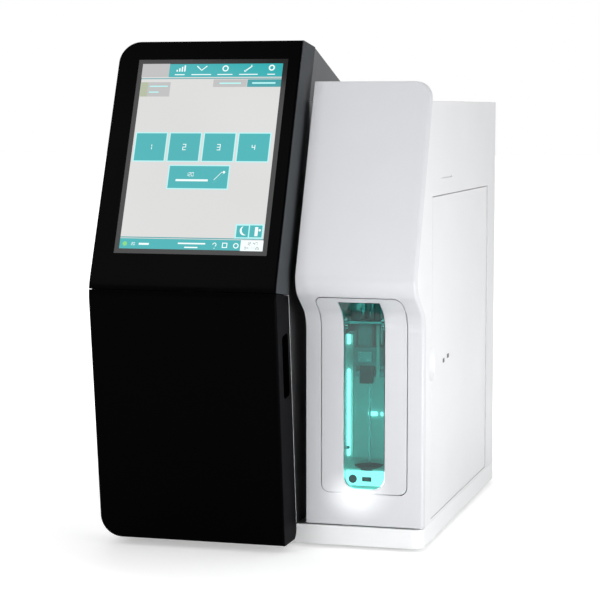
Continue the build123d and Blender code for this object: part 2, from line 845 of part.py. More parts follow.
with BuildPart() as sample_shelf:
    with BuildSketch(side_plane(liner_left + liner_wall)):
        with BuildLine():
            Polyline(
                (shelf_front_y, shelf_low_z),
                (liner_back_y - liner_wall, shelf_low_z),
                (liner_back_y - liner_wall, shelf_back_z),
                (shelf_front_y, shelf_front_z),
                close=True,
            )
        make_face()
    extrude(amount=liner_right - liner_left - 2 * liner_wall)
    shelf_back_edges = sample_shelf.edges().filter_by(Axis.Z).group_by(Axis.Y)[-1]
    fillet(shelf_back_edges, liner_corner_radius + slip)
    with BuildSketch(Plane.XY.offset(shelf_back_z)):
        with Locations((window_middle, needle_y)):
            Circle(well_radius)
    extrude(amount=-(shelf_back_z - shelf_front_z + well_depth), mode=Mode.SUBTRACT)
save(sample_shelf, "sample_shelf")

with BuildPart() as drain_cup:
    with BuildSketch(Plane.XY.offset(shelf_front_z - well_depth)):
        with Locations((window_middle, needle_y)):
            Circle(well_radius - shaft_clearance)
    extrude(amount=well_depth + 1)
    with BuildSketch(Plane.XY.offset(shelf_front_z - well_depth + cup_wall)):
        with Locations((window_middle, needle_y)):
            Circle(well_radius - shaft_clearance - cup_wall)
    extrude(amount=well_depth + 1, mode=Mode.SUBTRACT)
save(drain_cup, "drain_cup")

rod_places = [(window_middle + side * rod_spacing / 2, rod_y) for side in (-1, 1)]
frame_front_y = liner_back_y
frame_back_y = frame_front_y + frame_thickness
base_floor_z = base_bottom_z + wall
bracket_front_y = rod_y - rod_radius - bracket_margin
screw_place = (window_middle, rod_y)

with BuildPart() as sampler_frame:
    with BuildSketch(front_plane(frame_back_y)):
        with BuildLine():
            Polyline(
                (liner_left, base_floor_z),
                (liner_right, base_floor_z),
                (liner_right, frame_high_z),
                (liner_left, frame_high_z),
                close=True,
            )
        make_face()
    extrude(amount=frame_thickness)
    for bracket_z in (rod_low_z, rod_high_z):
        with BuildSketch(Plane.XY.offset(bracket_z)):
            with Locations((window_middle, (bracket_front_y + frame_front_y) / 2)):
                Rectangle(carriage_width, frame_front_y - bracket_front_y)
        extrude(amount=bracket_thickness)
    with BuildSketch(Plane.XY.offset(rod_low_z + 1)):
        with Locations(*rod_places):
            Circle(rod_radius + shaft_clearance)
        with Locations(screw_place):
            Circle(screw_radius + shaft_clearance)
    extrude(amount=rod_high_z, mode=Mode.SUBTRACT)
save(sampler_frame, "sampler_frame")

with BuildPart() as guide_rods:
    with BuildSketch(Plane.XY.offset(rod_low_z + 1)):
        with Locations(*rod_places):
            Circle(rod_radius)
    extrude(amount=rod_high_z + bracket_thickness - rod_low_z - 1)
save(guide_rods, "guide_rods")

carriage_back_y = frame_front_y - carriage_gap
carriage_front_y = needle_y - carriage_nose
carriage_middle_y = (carriage_back_y + carriage_front_y) / 2
probe_body_x = window_middle - probe_body_shift

with BuildPart() as probe_carriage:
    with BuildSketch(Plane.XY.offset(carriage_low_z)):
        with Locations((window_middle, carriage_middle_y)):
            RectangleRounded(carriage_width, carriage_back_y - carriage_front_y, 2)
        with Locations(*rod_places):
            Circle(rod_radius + shaft_clearance, mode=Mode.SUBTRACT)
        with Locations(screw_place):
            Circle(screw_radius + shaft_clearance, mode=Mode.SUBTRACT)
    extrude(amount=carriage_height)
    with BuildSketch(Plane.XY.offset(carriage_low_z + carriage_height)):
        with Locations((probe_body_x, needle_y)):
            RectangleRounded(probe_body_width, probe_body_depth, probe_body_radius)
    extrude(amount=probe_body_height)
    with BuildSketch(Plane.XY.offset(carriage_low_z)):
        with Locations((window_middle, needle_y)):
            Circle(needle_radius + shaft_clearance)
    extrude(amount=carriage_height + probe_body_height, mode=Mode.SUBTRACT)
save(probe_carriage, "probe_carriage")

needle_top_z = carriage_low_z + carriage_height + probe_body_height + needle_stub
with BuildPart() as sampling_needle:
    with BuildSketch(Plane.XY.offset(needle_tip_z + needle_taper_length)):
        with Locations((window_middle, needle_y)):
            Circle(needle_radius)
    extrude(amount=needle_top_z - needle_tip_z - needle_taper_length)
    with BuildSketch(Plane.XY.offset(needle_tip_z + needle_taper_length)):
        with Locations((window_middle, needle_y)):
            Circle(needle_radius)
    extrude(amount=-needle_taper_length, taper=needle_taper)
save(sampling_needle, "sampling_needle")

# Lift drive: a motor on the upper bracket turns a screw that the carriage runs on
with BuildPart() as lift_motor:
    with BuildSketch(Plane.XY.offset(frame_high_z)):
        with Locations(screw_place):
            RectangleRounded(motor_size, motor_size, motor_corner_radius)
            Circle(screw_radius + shaft_clearance, mode=Mode.SUBTRACT)
    extrude(amount=motor_height)
    with BuildSketch(Plane.XY.offset(frame_high_z + motor_height)):
        with Locations(screw_place):
            Circle(motor_boss_radius)
    extrude(amount=motor_boss_height)
save(lift_motor, "lift_motor")

with BuildPart() as lift_screw:
    with BuildSketch(Plane.XY.offset(rod_low_z + 1)):
        with Locations(screw_place):
            Circle(screw_radius)
    extrude(amount=frame_high_z + motor_height - rod_low_z - 1 - slip)
save(lift_screw, "lift_screw")

# Side door over the reagent bay, hinged at its rear edge, with a fingertip dish across its front edge
side_barrel_radius = 6.0
side_pin_radius = 2.0
side_block_height = 8.0
side_pivot = (right_x - side_barrel_radius, side_door_back_y - side_barrel_radius)
with BuildPart() as door_dish:
    with Locations((grip_ball_x, side_door_front_y, grip_z)):
        Sphere(grip_ball_radius + grip_shell)
    split(bisect_by=Plane.YZ.offset(right_x - wall / 2), keep=Keep.BOTTOM)
    split(bisect_by=Plane.XZ.offset(-side_door_front_y), keep=Keep.BOTTOM)

with BuildPart() as side_door:
    with BuildSketch(side_plane(right_x - wall)):
        with BuildLine():
            Polyline(
                (side_door_front_y, side_door_low_z),
                (side_pivot[1], side_door_low_z),
                (side_pivot[1], side_door_high_z),
                (side_door_front_y, side_door_high_z),
                close=True,
            )
        make_face()
    extrude(amount=wall)
    with BuildSketch(Plane.XY.offset(side_door_low_z)):
        with Locations(side_pivot):
            Circle(side_barrel_radius)
    extrude(amount=side_door_high_z - side_door_low_z)
    with BuildSketch(Plane.XY.offset(side_door_low_z)):
        with Locations(side_pivot):
            Circle(side_pin_radius + shaft_clearance)
    extrude(amount=side_door_high_z - side_door_low_z, mode=Mode.SUBTRACT)
    add(door_dish.part)
    add(grip_ball.part, mode=Mode.SUBTRACT)
save(side_door, "side_door")

with BuildPart() as side_hinge_rod:
    with BuildSketch(Plane.XY.offset(side_door_low_z - side_block_height)):
        with Locations(side_pivot):
            Circle(side_pin_radius)
    extrude(amount=side_door_high_z - side_door_low_z + 2 * side_block_height)
save(side_hinge_rod, "side_hinge_rod")

block_width = side_barrel_radius * 2 - wall
with BuildPart() as side_hinge_blocks:
    low_block_z = side_door_low_z - side_door_gap - side_block_height
    for block_z in (low_block_z, side_door_high_z + side_door_gap):
        with BuildSketch(Plane.XY.offset(block_z)):
            with Locations((right_x - wall - block_width / 2, side_pivot[1])):
                Rectangle(block_width, 2 * side_barrel_radius)
            with Locations(side_pivot):
                Circle(side_pin_radius + shaft_clearance, mode=Mode.SUBTRACT)
        extrude(amount=side_block_height)
save(side_hinge_blocks, "side_hinge_blocks")

# Reagent bay and pack behind the side door
bay_wall = 2.0
bay_width = 63.0
bay_side_setback = 15.0
bay_front_setback = 12.0
bay_back_setback = 23.0
bay_stand = 18.0
bay_top_drop = 6.0
bay_corner_radius = 5.0
pack_clearance = 2.0
pack_headroom = 22.0
pack_tail_room = 22.0
pack_face_setback = 6.0
pack_corner_radius = 8.0
pack_edge = 2.0
pack_recess_depth = 12.0
pack_grip_drop = 34.0
pack_grip_length = 90.0
pack_grip_height = 26.0
pack_label_margin = 20.0
pack_label_depth = 1.0

bay_right_x = right_x - bay_side_setback
bay_left_x = bay_right_x - bay_width
bay_front_y = side_door_front_y + bay_front_setback
bay_back_y = side_door_back_y - bay_back_setback
bay_floor_z = base_floor_z + bay_stand
bay_high_z = side_door_high_z - bay_top_drop

with BuildPart() as reagent_bay:
    with BuildSketch(side_plane(bay_left_x)):
        with BuildLine():
            Polyline(
                (bay_front_y, base_floor_z),
                (bay_back_y, base_floor_z),
                (bay_back_y, bay_high_z),
                (bay_front_y, bay_high_z),
                close=True,
            )
        make_face()
    extrude(amount=bay_right_x - bay_left_x)
    with BuildSketch(side_plane(bay_left_x + bay_wall)):
        with Locations(((bay_front_y + bay_back_y) / 2, (bay_floor_z + bay_high_z - bay_wall) / 2)):
            RectangleRounded(
                bay_back_y - bay_front_y - 2 * bay_wall, bay_high_z - bay_wall - bay_floor_z, bay_corner_radius
            )
    extrude(amount=bay_right_x - bay_left_x, mode=Mode.SUBTRACT)
    with BuildSketch(side_plane(bay_left_x)):
        with Locations(((bay_front_y + bay_back_y) / 2, (base_floor_z + bay_floor_z - bay_wall) / 2)):
            Rectangle(bay_back_y - bay_front_y - 2 * bay_wall, bay_floor_z - bay_wall - base_floor_z)
    extrude(amount=bay_right_x - bay_left_x, mode=Mode.SUBTRACT)
save(reagent_bay, "reagent_bay")

pack_front_y = bay_front_y + bay_wall + pack_clearance
pack_length = bay_back_y - bay_wall - pack_tail_room - pack_front_y
pack_height = bay_high_z - bay_floor_z - pack_headroom
pack_middle_y = pack_front_y + pack_length / 2
pack_left_x = bay_left_x + bay_wall
pack_right_x = bay_right_x - pack_face_setback
with BuildPart() as reagent_pack:
    with BuildSketch(side_plane(pack_left_x)):
        with Locations((pack_middle_y, bay_floor_z + pack_height / 2)):
            RectangleRounded(pack_length, pack_height, pack_corner_radius)
    extrude(amount=pack_right_x - pack_left_x)
    chamfer(reagent_pack.faces().sort_by(Axis.X)[-1].edges(), pack_edge)
    with BuildSketch(side_plane(pack_right_x)):
        with Locations((pack_middle_y, bay_floor_z + pack_height - pack_grip_drop)):
            SlotOverall(pack_grip_length, pack_grip_height)
    extrude(amount=-pack_recess_depth, mode=Mode.SUBTRACT)
    label_low_z = bay_floor_z + 2 * pack_label_margin
    label_high_z = bay_floor_z + pack_height - pack_grip_drop - pack_grip_height - pack_label_margin
    with BuildSketch(side_plane(pack_right_x)):
        with Locations((pack_middle_y, (label_low_z + label_high_z) / 2)):
            RectangleRounded(pack_length - 2 * pack_label_margin, label_high_z - label_low_z, bay_corner_radius)
    extrude(amount=-pack_label_depth, mode=Mode.SUBTRACT)
save(reagent_pack, "reagent_pack")

# Rear panel, set in from the back edge, with the fan, the mains inlet, the switch and the data ports
rear_inset = 3.0
rear_clearance = 0.4
fan_from_left = 70.0
fan_drop = 104.5
fan_size = 60.0
fan_depth = 15.0
fan_bore_radius = 28.0
fan_hub_radius = 11.0
fan_shaft_radius = 1.5
fan_blades = 7
fan_corner_radius = 4.0
fan_spoke = 3.0
fan_blade_width = 11.0
fan_blade_thickness = 1.2
fan_blade_pitch = 38.0
fan_slot_width = 3.6
fan_slot_pitch = 6.4
fan_slots = 8
fan_screw_spacing = 50.0
vent_from_right = 70.0
vent_drop = 66.5
vent_length = 70.0
vent_width = 4.0
vent_pitch = 9.0
vent_count = 8
inlet_from_left = 48.0
inlet_lift = 41.4
inlet_width = 28.0
inlet_height = 20.4
inlet_depth = 18.0
inlet_flange_width = 48.0
inlet_flange_height = 26.0
socket_width = 23.0
socket_height = 15.4
socket_depth = 14.0
socket_corner = 4.0
socket_pin_pitch = 7.0
socket_pin_offset = 2.0
socket_pin_width = 2.0
socket_pin_height = 4.0
switch_from_left = 90.0
switch_rim = 1.5
switch_rim_height = 1.2
switch_pin_radius = 1.2
switch_pin_end = 0.5
switch_setback = 4.0
rocker_crest = 4.6
rocker_heel = 4.0
rocker_shoulder = 1.0
switch_width = 13.0
switch_height = 20.0
switch_depth = 14.0
rocker_travel = 14.0
rocker_clearance = 0.8
port_from_right = 92.0
port_lift = 51.4
port_spacing = 34.0
panel_screw_radius = 2.8
panel_screw_height = 2.0
panel_screw_inset = 8.0

fan_x = left_x + fan_from_left
fan_z = body_top_z - fan_drop
vent_x = right_x - vent_from_right
vent_z = body_top_z - vent_drop
inlet_x = left_x + inlet_from_left
inlet_z = body_bottom_z + inlet_lift
switch_x = left_x + switch_from_left
port_x = right_x - port_from_right
port_z = body_bottom_z + port_lift
rear_face_y = back_y - rear_inset
rear_inner_y = rear_face_y - rear_panel_thickness
rear_left_x = body_left_x + wall + rear_clearance
rear_right_x = right_x - wall - rear_clearance
rear_low_z = body_bottom_z
rear_high_z = body_top_z - wall - rear_clearance
rear_middle_x = (rear_left_x + rear_right_x) / 2
rear_middle_z = (rear_low_z + rear_high_z) / 2
panel_screw_x = rear_right_x - rear_left_x - 2 * panel_screw_inset
panel_screw_z = (rear_high_z - rear_low_z) / 2 - panel_screw_inset


def fan_slot_places():
    """Offset and length of each upright slot of the round fan guard."""
    reach = fan_bore_radius - 2
    for index in range(fan_slots):
        offset_x = (index - (fan_slots - 1) / 2) * fan_slot_pitch
        yield offset_x, 2 * (reach**2 - offset_x**2) ** 0.5


port_sizes = ((-port_spacing, 13.0, 5.8), (0.0, 13.0, 5.8), (port_spacing, 18.0, 9.0))

with BuildPart() as rear_panel:
    with BuildSketch(front_plane(rear_face_y)):
        with Locations((rear_middle_x, rear_middle_z)):
            Rectangle(rear_right_x - rear_left_x, rear_high_z - rear_low_z)
        for offset_x, length in fan_slot_places():
            with Locations((fan_x + offset_x, fan_z)):
                Rectangle(fan_slot_width, length, mode=Mode.SUBTRACT)
        with Locations((vent_x, vent_z)):
            with GridLocations(0, vent_pitch, 1, vent_count):
                Rectangle(vent_length, vent_width, mode=Mode.SUBTRACT)
        with Locations((inlet_x, inlet_z)):
            Rectangle(inlet_width, inlet_height, mode=Mode.SUBTRACT)
        with Locations((switch_x, inlet_z)):
            Rectangle(switch_width, switch_height, mode=Mode.SUBTRACT)
        for offset_x, width, height in port_sizes:
            with Locations((port_x + offset_x, port_z)):
                Rectangle(width + 1, height + 1, mode=Mode.SUBTRACT)
    extrude(amount=rear_panel_thickness)
    with BuildSketch(front_plane(rear_face_y)):
        with Locations((rear_middle_x, rear_middle_z)):
            with GridLocations(panel_screw_x, panel_screw_z, 2, 3):
                Circle(panel_screw_radius)
        with Locations((fan_x, fan_z)):
            with GridLocations(fan_screw_spacing, fan_screw_spacing, 2, 2):
                Circle(panel_screw_radius)
    extrude(amount=-panel_screw_height)
save(rear_panel, "rear_panel")

with BuildPart() as fan_frame:
    with BuildSketch(front_plane(rear_inner_y)):
        with Locations((fan_x, fan_z)):
            RectangleRounded(fan_size, fan_size, fan_corner_radius)
            Circle(fan_bore_radius, mode=Mode.SUBTRACT)
    extrude(amount=fan_depth)
    with BuildSketch(front_plane(rear_inner_y - fan_depth + fan_spoke)):
        with Locations((fan_x, fan_z)):
            Circle(fan_hub_radius)
            with PolarLocations((fan_bore_radius + fan_hub_radius) / 2, 3):
                Rectangle(fan_bore_radius - fan_hub_radius + fan_spoke, fan_spoke)
    extrude(amount=fan_spoke)
    with BuildSketch(front_plane(rear_inner_y - fan_spoke / 2)):
        with Locations((fan_x, fan_z)):
            Circle(fan_shaft_radius)
    extrude(amount=fan_depth - fan_spoke)
save(fan_frame, "fan_frame")

with BuildPart() as fan_rotor:
    with BuildSketch(front_plane(rear_inner_y - 1)):
        with Locations((fan_x, fan_z)):
            Circle(fan_hub_radius)
    extrude(amount=fan_depth - fan_spoke - 2)
    blade_span = fan_bore_radius - 1 - fan_hub_radius
    for turn in range(fan_blades):
        angle = 360 / fan_blades * turn
        hub_spot = Location((fan_x, rear_inner_y - fan_depth / 2 + 1, fan_z), (0, angle, 0))
        blade_plane = Plane(hub_spot * Location((0, 0, fan_hub_radius - 1), (0, 0, fan_blade_pitch)))
        with BuildSketch(blade_plane):
            Rectangle(fan_blade_thickness, fan_blade_width)
        extrude(amount=blade_span + 1)
    with BuildSketch(front_plane(rear_inner_y)):
        with Locations((fan_x, fan_z)):
            Circle(fan_shaft_radius + shaft_clearance)
    extrude(amount=fan_depth, mode=Mode.SUBTRACT)
save(fan_rotor, "fan_rotor")

with BuildPart() as power_inlet:
    with BuildSketch(front_plane(rear_face_y)):
        with Locations((inlet_x, inlet_z)):
            Rectangle(inlet_width - 2 * rear_clearance, inlet_height - 2 * rear_clearance)
    extrude(amount=inlet_depth)
    with BuildSketch(front_plane(rear_face_y)):
        with Locations((inlet_x, inlet_z)):
            RectangleRounded(inlet_flange_width, inlet_flange_height, socket_corner)
    extrude(amount=-2)
    with BuildSketch(front_plane(rear_face_y + 2)):
        with Locations((inlet_x, inlet_z)):
            socket_outline = Rectangle(socket_width, socket_height)
            chamfer(socket_outline.vertices().group_by(Axis.Y)[-1], socket_corner)
    extrude(amount=socket_depth, mode=Mode.SUBTRACT)
    with BuildSketch(front_plane(rear_face_y + 2 - socket_depth)):
        with Locations(
            (inlet_x - socket_pin_pitch, inlet_z - socket_pin_offset),
            (inlet_x, inlet_z + socket_pin_offset),
            (inlet_x + socket_pin_pitch, inlet_z - socket_pin_offset),
        ):
            Rectangle(socket_pin_width, socket_pin_height)
    extrude(amount=-socket_depth + socket_corner)
save(power_inlet, "power_inlet")

switch_pivot_y = rear_face_y - switch_setback
switch_hole_width = switch_width - 2 * switch_rim
switch_hole_height = switch_height - 2 * switch_rim
switch_hole_left = switch_x - switch_hole_width / 2
with BuildPart() as switch_frame:
    with BuildSketch(front_plane(rear_face_y)):
        with Locations((switch_x, inlet_z)):
            Rectangle(switch_width - 2 * rear_clearance, switch_height - 2 * rear_clearance)
    extrude(amount=switch_depth)
    with BuildSketch(front_plane(rear_face_y)):
        with Locations((switch_x, inlet_z)):
            Rectangle(switch_width + 2 * switch_rim, switch_height + 2 * switch_rim)
    extrude(amount=-switch_rim_height)
    with BuildSketch(front_plane(rear_face_y + 2)):
        with Locations((switch_x, inlet_z)):
            Rectangle(switch_hole_width, switch_hole_height)
    extrude(amount=switch_depth, mode=Mode.SUBTRACT)
    with BuildSketch(side_plane(switch_hole_left - switch_pin_end)):
        with Locations((switch_pivot_y, inlet_z)):
            Circle(switch_pin_radius)
    extrude(amount=switch_hole_width + 2 * switch_pin_end)
save(switch_frame, "switch_frame")

rocker_half = switch_hole_height / 2 - rocker_clearance
rocker_tilt = rocker_travel / 2
rocker_tip = rocker_crest + rocker_half * tan(radians(rocker_tilt))
with BuildPart() as power_rocker:
    with BuildSketch(side_plane(switch_hole_left + slip)):
        with Locations(Location((switch_pivot_y, inlet_z), -rocker_tilt)):
            Polygon(
                (rocker_crest, 0),
                (rocker_tip, rocker_half),
                (-rocker_shoulder, rocker_half - rocker_shoulder),
                (-rocker_heel, 0),
                (-rocker_shoulder, -rocker_half + rocker_shoulder),
                (rocker_tip, -rocker_half),
                align=None,
            )
            Circle(switch_pin_radius + shaft_clearance, mode=Mode.SUBTRACT)
    extrude(amount=switch_hole_width - 2 * slip)
save(power_rocker, "power_rocker")

# Electronics
supply_side_gap = 12.0
supply_back_gap = 20.5
supply_slot_pitch = 14.0
supply_slot_width = 5.0
supply_slots = 5
supply_slot_margin = 15.0
supply_slot_depth = 2.0
supply_width = 100.0
supply_depth = 130.0
supply_height = 44.0
board_lift = 104.0
board_width = 150.0
board_depth = 170.0
board_setback = 26.0
board_standoff = 6.0
board_post_inset = 6.0
fluid_depth = 138.5

supply_left_x = body_left_x + wall + supply_side_gap
supply_back_y = rear_inner_y - supply_back_gap
fluid_back_y = front_y + fluid_depth
board_front_y = fluid_back_y + board_setback
board_low_z = base_floor_z + board_lift

with BuildPart() as power_supply:
    with BuildSketch(Plane.XY.offset(base_floor_z)):
        with Locations((supply_left_x + supply_width / 2, supply_back_y - supply_depth / 2)):
            Rectangle(supply_width, supply_depth)
    extrude(amount=supply_height)
    with BuildSketch(Plane.XY.offset(base_floor_z + supply_height)):
        with Locations((supply_left_x + supply_width / 2, supply_back_y - supply_depth / 2)):
            with GridLocations(supply_slot_pitch, 0, supply_slots, 1):
                SlotOverall(supply_depth - 2 * supply_slot_margin, supply_slot_width, rotation=90)
    extrude(amount=-supply_slot_depth, mode=Mode.SUBTRACT)
save(power_supply, "power_supply")

with BuildPart() as main_board:
    with BuildSketch(side_plane(body_left_x + wall + board_standoff)):
        with Locations((board_front_y + board_depth / 2, board_low_z + board_width / 2)):
            Rectangle(board_depth, board_width)
    extrude(amount=board_thickness)
    with BuildSketch(side_plane(body_left_x + wall)):
        with Locations((board_front_y + board_depth / 2, board_low_z + board_width / 2)):
            with GridLocations(board_depth - 2 * board_post_inset, board_width - 2 * board_post_inset, 2, 2):
                RegularPolygon(post_radius, post_sides)
    extrude(amount=board_standoff)
    with BuildSketch(side_plane(body_left_x + wall + board_standoff + board_thickness)):
        with Locations((board_front_y + board_depth / 2, board_low_z + board_width / 2)):
            with GridLocations(board_depth / 3, board_width / 3, 3, 2):
                Rectangle(chip_length, chip_size)
    extrude(amount=chip_height)
save(main_board, "main_board")

port_depth = 12.0
port_wall = 0.6
port_tongue = 1.2
port_tongue_inset = 1.5
port_block_margin = 15.0
port_block_height = 18.0
port_block_depth = 4.0
with BuildPart() as data_ports:
    with BuildSketch(front_plane(rear_inner_y)):
        with Locations((port_x, port_z)):
            Rectangle(2 * (port_spacing + port_block_margin), port_block_height)
    extrude(amount=port_block_depth)
    for offset_x, width, height in port_sizes:
        with BuildSketch(front_plane(rear_face_y)):
            with Locations((port_x + offset_x, port_z)):
                Rectangle(width, height)
        extrude(amount=port_depth)
    for offset_x, width, height in port_sizes:
        with BuildSketch(front_plane(rear_face_y)):
            with Locations((port_x + offset_x, port_z)):
                Rectangle(width - 2 * port_wall, height - 2 * port_wall)
                Rectangle(width - 2 * port_tongue_inset, port_tongue, mode=Mode.SUBTRACT)
        extrude(amount=port_depth - rear_panel_thickness, mode=Mode.SUBTRACT)
save(data_ports, "data_ports")

# Fluid bay behind the front door: a moulded box that carries the electrodes, the pump and the valves
fluid_wall = 2.5
fluid_low_lift = 5.4
fluid_top_drop = 10.5
fluid_gap = 1.5
fluid_low_z = body_bottom_z + fluid_low_lift
fluid_high_z = knee_z - fluid_top_drop
fluid_left_x = body_left_x + wall
fluid_right_x = module_right_x - wall
fluid_face_y = fluid_back_y - fluid_wall


def fluid_section(inset=0.0, ahead=0.0):
    """Side view of the fluid bay, inset on its closed sides and extended past its open front."""
    low_z = fluid_low_z + inset
    high_z = fluid_high_z - inset
    depth = module_depth + fluid_gap - ahead
    return outline(
        [
            (door_y(low_z, depth), low_z),
            (door_y(high_z, depth), high_z),
            (fluid_back_y - inset, high_z),
            (fluid_back_y - inset, low_z),
        ]
    )


with BuildPart() as fluid_bay:
    with BuildSketch(side_plane(fluid_left_x)):
        add(fluid_section())
    extrude(amount=fluid_right_x - fluid_left_x)
    with BuildSketch(side_plane(fluid_left_x + fluid_wall)):
        add(fluid_section(fluid_wall, wall))
    extrude(amount=fluid_right_x - fluid_left_x - 2 * fluid_wall, mode=Mode.SUBTRACT)
save(fluid_bay, "fluid_bay")

# Gooseneck arms that carry the door pins clear of the door's turning edge
arm_foot = 8.0
arm_back = 26.0
with BuildPart() as door_hinge_arms:
    wall_x = fluid_left_x + fluid_wall - door_axis.origin.X
    for height in hinge_heights:
        with BuildSketch(door_axis.offset(height - hinge_arm_height / 2)):
            Circle(hinge_eye_radius)
            with BuildLine():
                Polyline(
                    (0, -hinge_eye_radius),
                    (hinge_arm_reach, -hinge_eye_radius),
                    (hinge_arm_reach, arm_back),
                    (wall_x, arm_back),
                    (wall_x, arm_back - arm_foot),
                    (hinge_arm_reach - hinge_arm_thickness, arm_back - arm_foot),
                    (hinge_arm_reach - hinge_arm_thickness, hinge_arm_thickness - hinge_eye_radius),
                    (0, hinge_arm_thickness - hinge_eye_radius),
                    close=True,
                )
            make_face()
            Circle(hinge_pin_radius + shaft_clearance, mode=Mode.SUBTRACT)
        extrude(amount=hinge_arm_height)
save(door_hinge_arms, "door_hinge_arms")

# Electrode stack
electrode_count = 5
electrode_width = 17.0
electrode_pitch = 18.0
electrode_height = 38.0
electrode_depth = 26.0
electrode_from_left = 34.0
electrode_rise_share = 0.62
rack_back = 10.0
rack_ledge = 5.0
rack_setback = 4.0
rack_corner_radius = 4.0
rack_margin = 4.0
electrode_rim = 2.5
electrode_window_depth = 1.2
electrode_window_lift = 4.0
electrode_button_radius = 4.0
electrode_corner_radius = 3.0

electrode_left_x = left_x + electrode_from_left
electrode_low_z = fluid_low_z + electrode_rise_share * (fluid_high_z - fluid_low_z)
electrode_right_x = electrode_left_x + (electrode_count - 1) * electrode_pitch + electrode_width
rack_front_y = fluid_face_y - rack_back
electrode_face_y = rack_front_y - electrode_depth
electrode_middle_z = electrode_low_z + electrode_height / 2

with BuildPart() as electrode_rack:
    with BuildSketch(side_plane(electrode_left_x - rack_margin)):
        with BuildLine():
            Polyline(
                (fluid_face_y, electrode_low_z - rack_ledge),
                (electrode_face_y + rack_setback, electrode_low_z - rack_ledge),
                (electrode_face_y + rack_setback, electrode_low_z),
                (rack_front_y, electrode_low_z),
                (rack_front_y, electrode_low_z + electrode_height + rack_ledge),
                (fluid_face_y, electrode_low_z + electrode_height + rack_ledge),
                close=True,
            )
        make_face()
    extrude(amount=electrode_right_x - electrode_left_x + 2 * rack_margin)
    fillet(electrode_rack.edges().filter_by(Axis.Y).group_by(Axis.Z)[-1], rack_corner_radius)
save(electrode_rack, "electrode_rack")

for index in range(electrode_count):
    electrode_x = electrode_left_x + index * electrode_pitch
    with BuildPart() as electrode:
        with BuildSketch(side_plane(electrode_x)):
            with Locations((rack_front_y - electrode_depth / 2, electrode_middle_z)):
                RectangleRounded(electrode_depth, electrode_height, electrode_corner_radius)
        extrude(amount=electrode_width)
        with BuildSketch(front_plane(electrode_face_y)):
            with Locations((electrode_x + electrode_width / 2, electrode_middle_z + electrode_window_lift)):
                Rectangle(electrode_width - 2 * electrode_rim, electrode_height / 2)
        extrude(amount=-electrode_window_depth, mode=Mode.SUBTRACT)
        with BuildSketch(front_plane(electrode_face_y + electrode_window_depth)):
            with Locations((electrode_x + electrode_width / 2, electrode_middle_z + electrode_window_lift)):
                Circle(electrode_button_radius)
        extrude(amount=electrode_window_depth)
    save(electrode, f"electrode_{index + 1}")

# Roller pump
pump_from_left = 60.0
pump_rise_share = 0.24
pump_radius = 27.0
pump_depth = 24.0
track_radius = 20.5
track_depth = 17.0
roller_orbit = 12.5
roller_radius = 4.5
roller_count = 3
roller_height = 12.0
rotor_radius = 16.0
rotor_plate = 2.5
pump_shaft_radius = 3.0
pump_shaft_length = 14.0
rotor_gap = 0.5
rotor_height = 15.5
roller_pin_radius = 1.5
pump_slot_width = 5.0
pump_corner_radius = 4.0

pump_x = left_x + pump_from_left
pump_z = fluid_low_z + pump_rise_share * (fluid_high_z - fluid_low_z)
pump_face_y = fluid_face_y - pump_depth
track_floor_y = pump_face_y + track_depth
rotor_back_y = track_floor_y - rotor_gap

with BuildPart() as pump_head:
    with BuildSketch(front_plane(fluid_face_y)):
        with Locations((pump_x, pump_z)):
            Circle(pump_radius)
        with Locations((pump_x, pump_z + pump_radius / 2)):
            RectangleRounded(2 * pump_radius, pump_radius, pump_corner_radius)
    extrude(amount=pump_depth)
    with BuildSketch(front_plane(track_floor_y)):
        with Locations((pump_x, pump_z)):
            Circle(track_radius)
        for side in (-1, 1):
            with Locations((pump_x + side * (track_radius - pump_slot_width / 2), pump_z + pump_radius)):
                Rectangle(pump_slot_width, 2 * pump_radius)
    extrude(amount=track_depth, mode=Mode.SUBTRACT)
    with BuildSketch(front_plane(track_floor_y)):
        with Locations((pump_x, pump_z)):
            Circle(pump_shaft_radius)
    extrude(amount=pump_shaft_length)
save(pump_head, "pump_head")

roller_spots = [
    (
        pump_x + roller_orbit * sin(radians(360 / roller_count * index)),
        pump_z + roller_orbit * cos(radians(360 / roller_count * index)),
    )
    for index in range(roller_count)
]
roller_back_y = rotor_back_y - rotor_plate - slip

with BuildPart() as pump_rotor:
    with BuildSketch(front_plane(rotor_back_y)):
        with Locations((pump_x, pump_z)):
            Circle(rotor_radius)
    extrude(amount=rotor_plate)
    with BuildSketch(front_plane(rotor_back_y)):
        with Locations((pump_x, pump_z)):
            Circle(roller_orbit - roller_radius - 1)
    extrude(amount=rotor_height)
    with BuildSketch(front_plane(rotor_back_y)):
        with Locations(*roller_spots):
            Circle(roller_pin_radius)
    extrude(amount=rotor_plate + roller_height)
    with BuildSketch(front_plane(track_floor_y)):
        with Locations((pump_x, pump_z)):
            Circle(pump_shaft_radius + shaft_clearance)
    extrude(amount=pump_shaft_length + rotor_gap, mode=Mode.SUBTRACT)
save(pump_rotor, "pump_rotor")

for index, spot in enumerate(roller_spots):
    with BuildPart() as roller:
        with BuildSketch(front_plane(roller_back_y)):
            with Locations(spot):
                Circle(roller_radius)
                Circle(roller_pin_radius + shaft_clearance, mode=Mode.SUBTRACT)
        extrude(amount=roller_height - 1)
    save(roller, f"pump_roller_{index + 1}")

# Pinch valves and tubing: from the electrodes, round the pump track and through the valves to the side wall
tube_radius = 1.6
tube_bend = 6.0
tube_forward = 9.0
valve_from_pump = 42.0
valve_pitch = 26.0
valve_rise = 9.0
valve_width = 20.0
valve_height = 20.0
valve_corner_radius = 2.0
valve_head_radius = 7.0
valve_head_height = 6.0
valve_slot_depth = 4.5
valve_tube_depth = 3.9

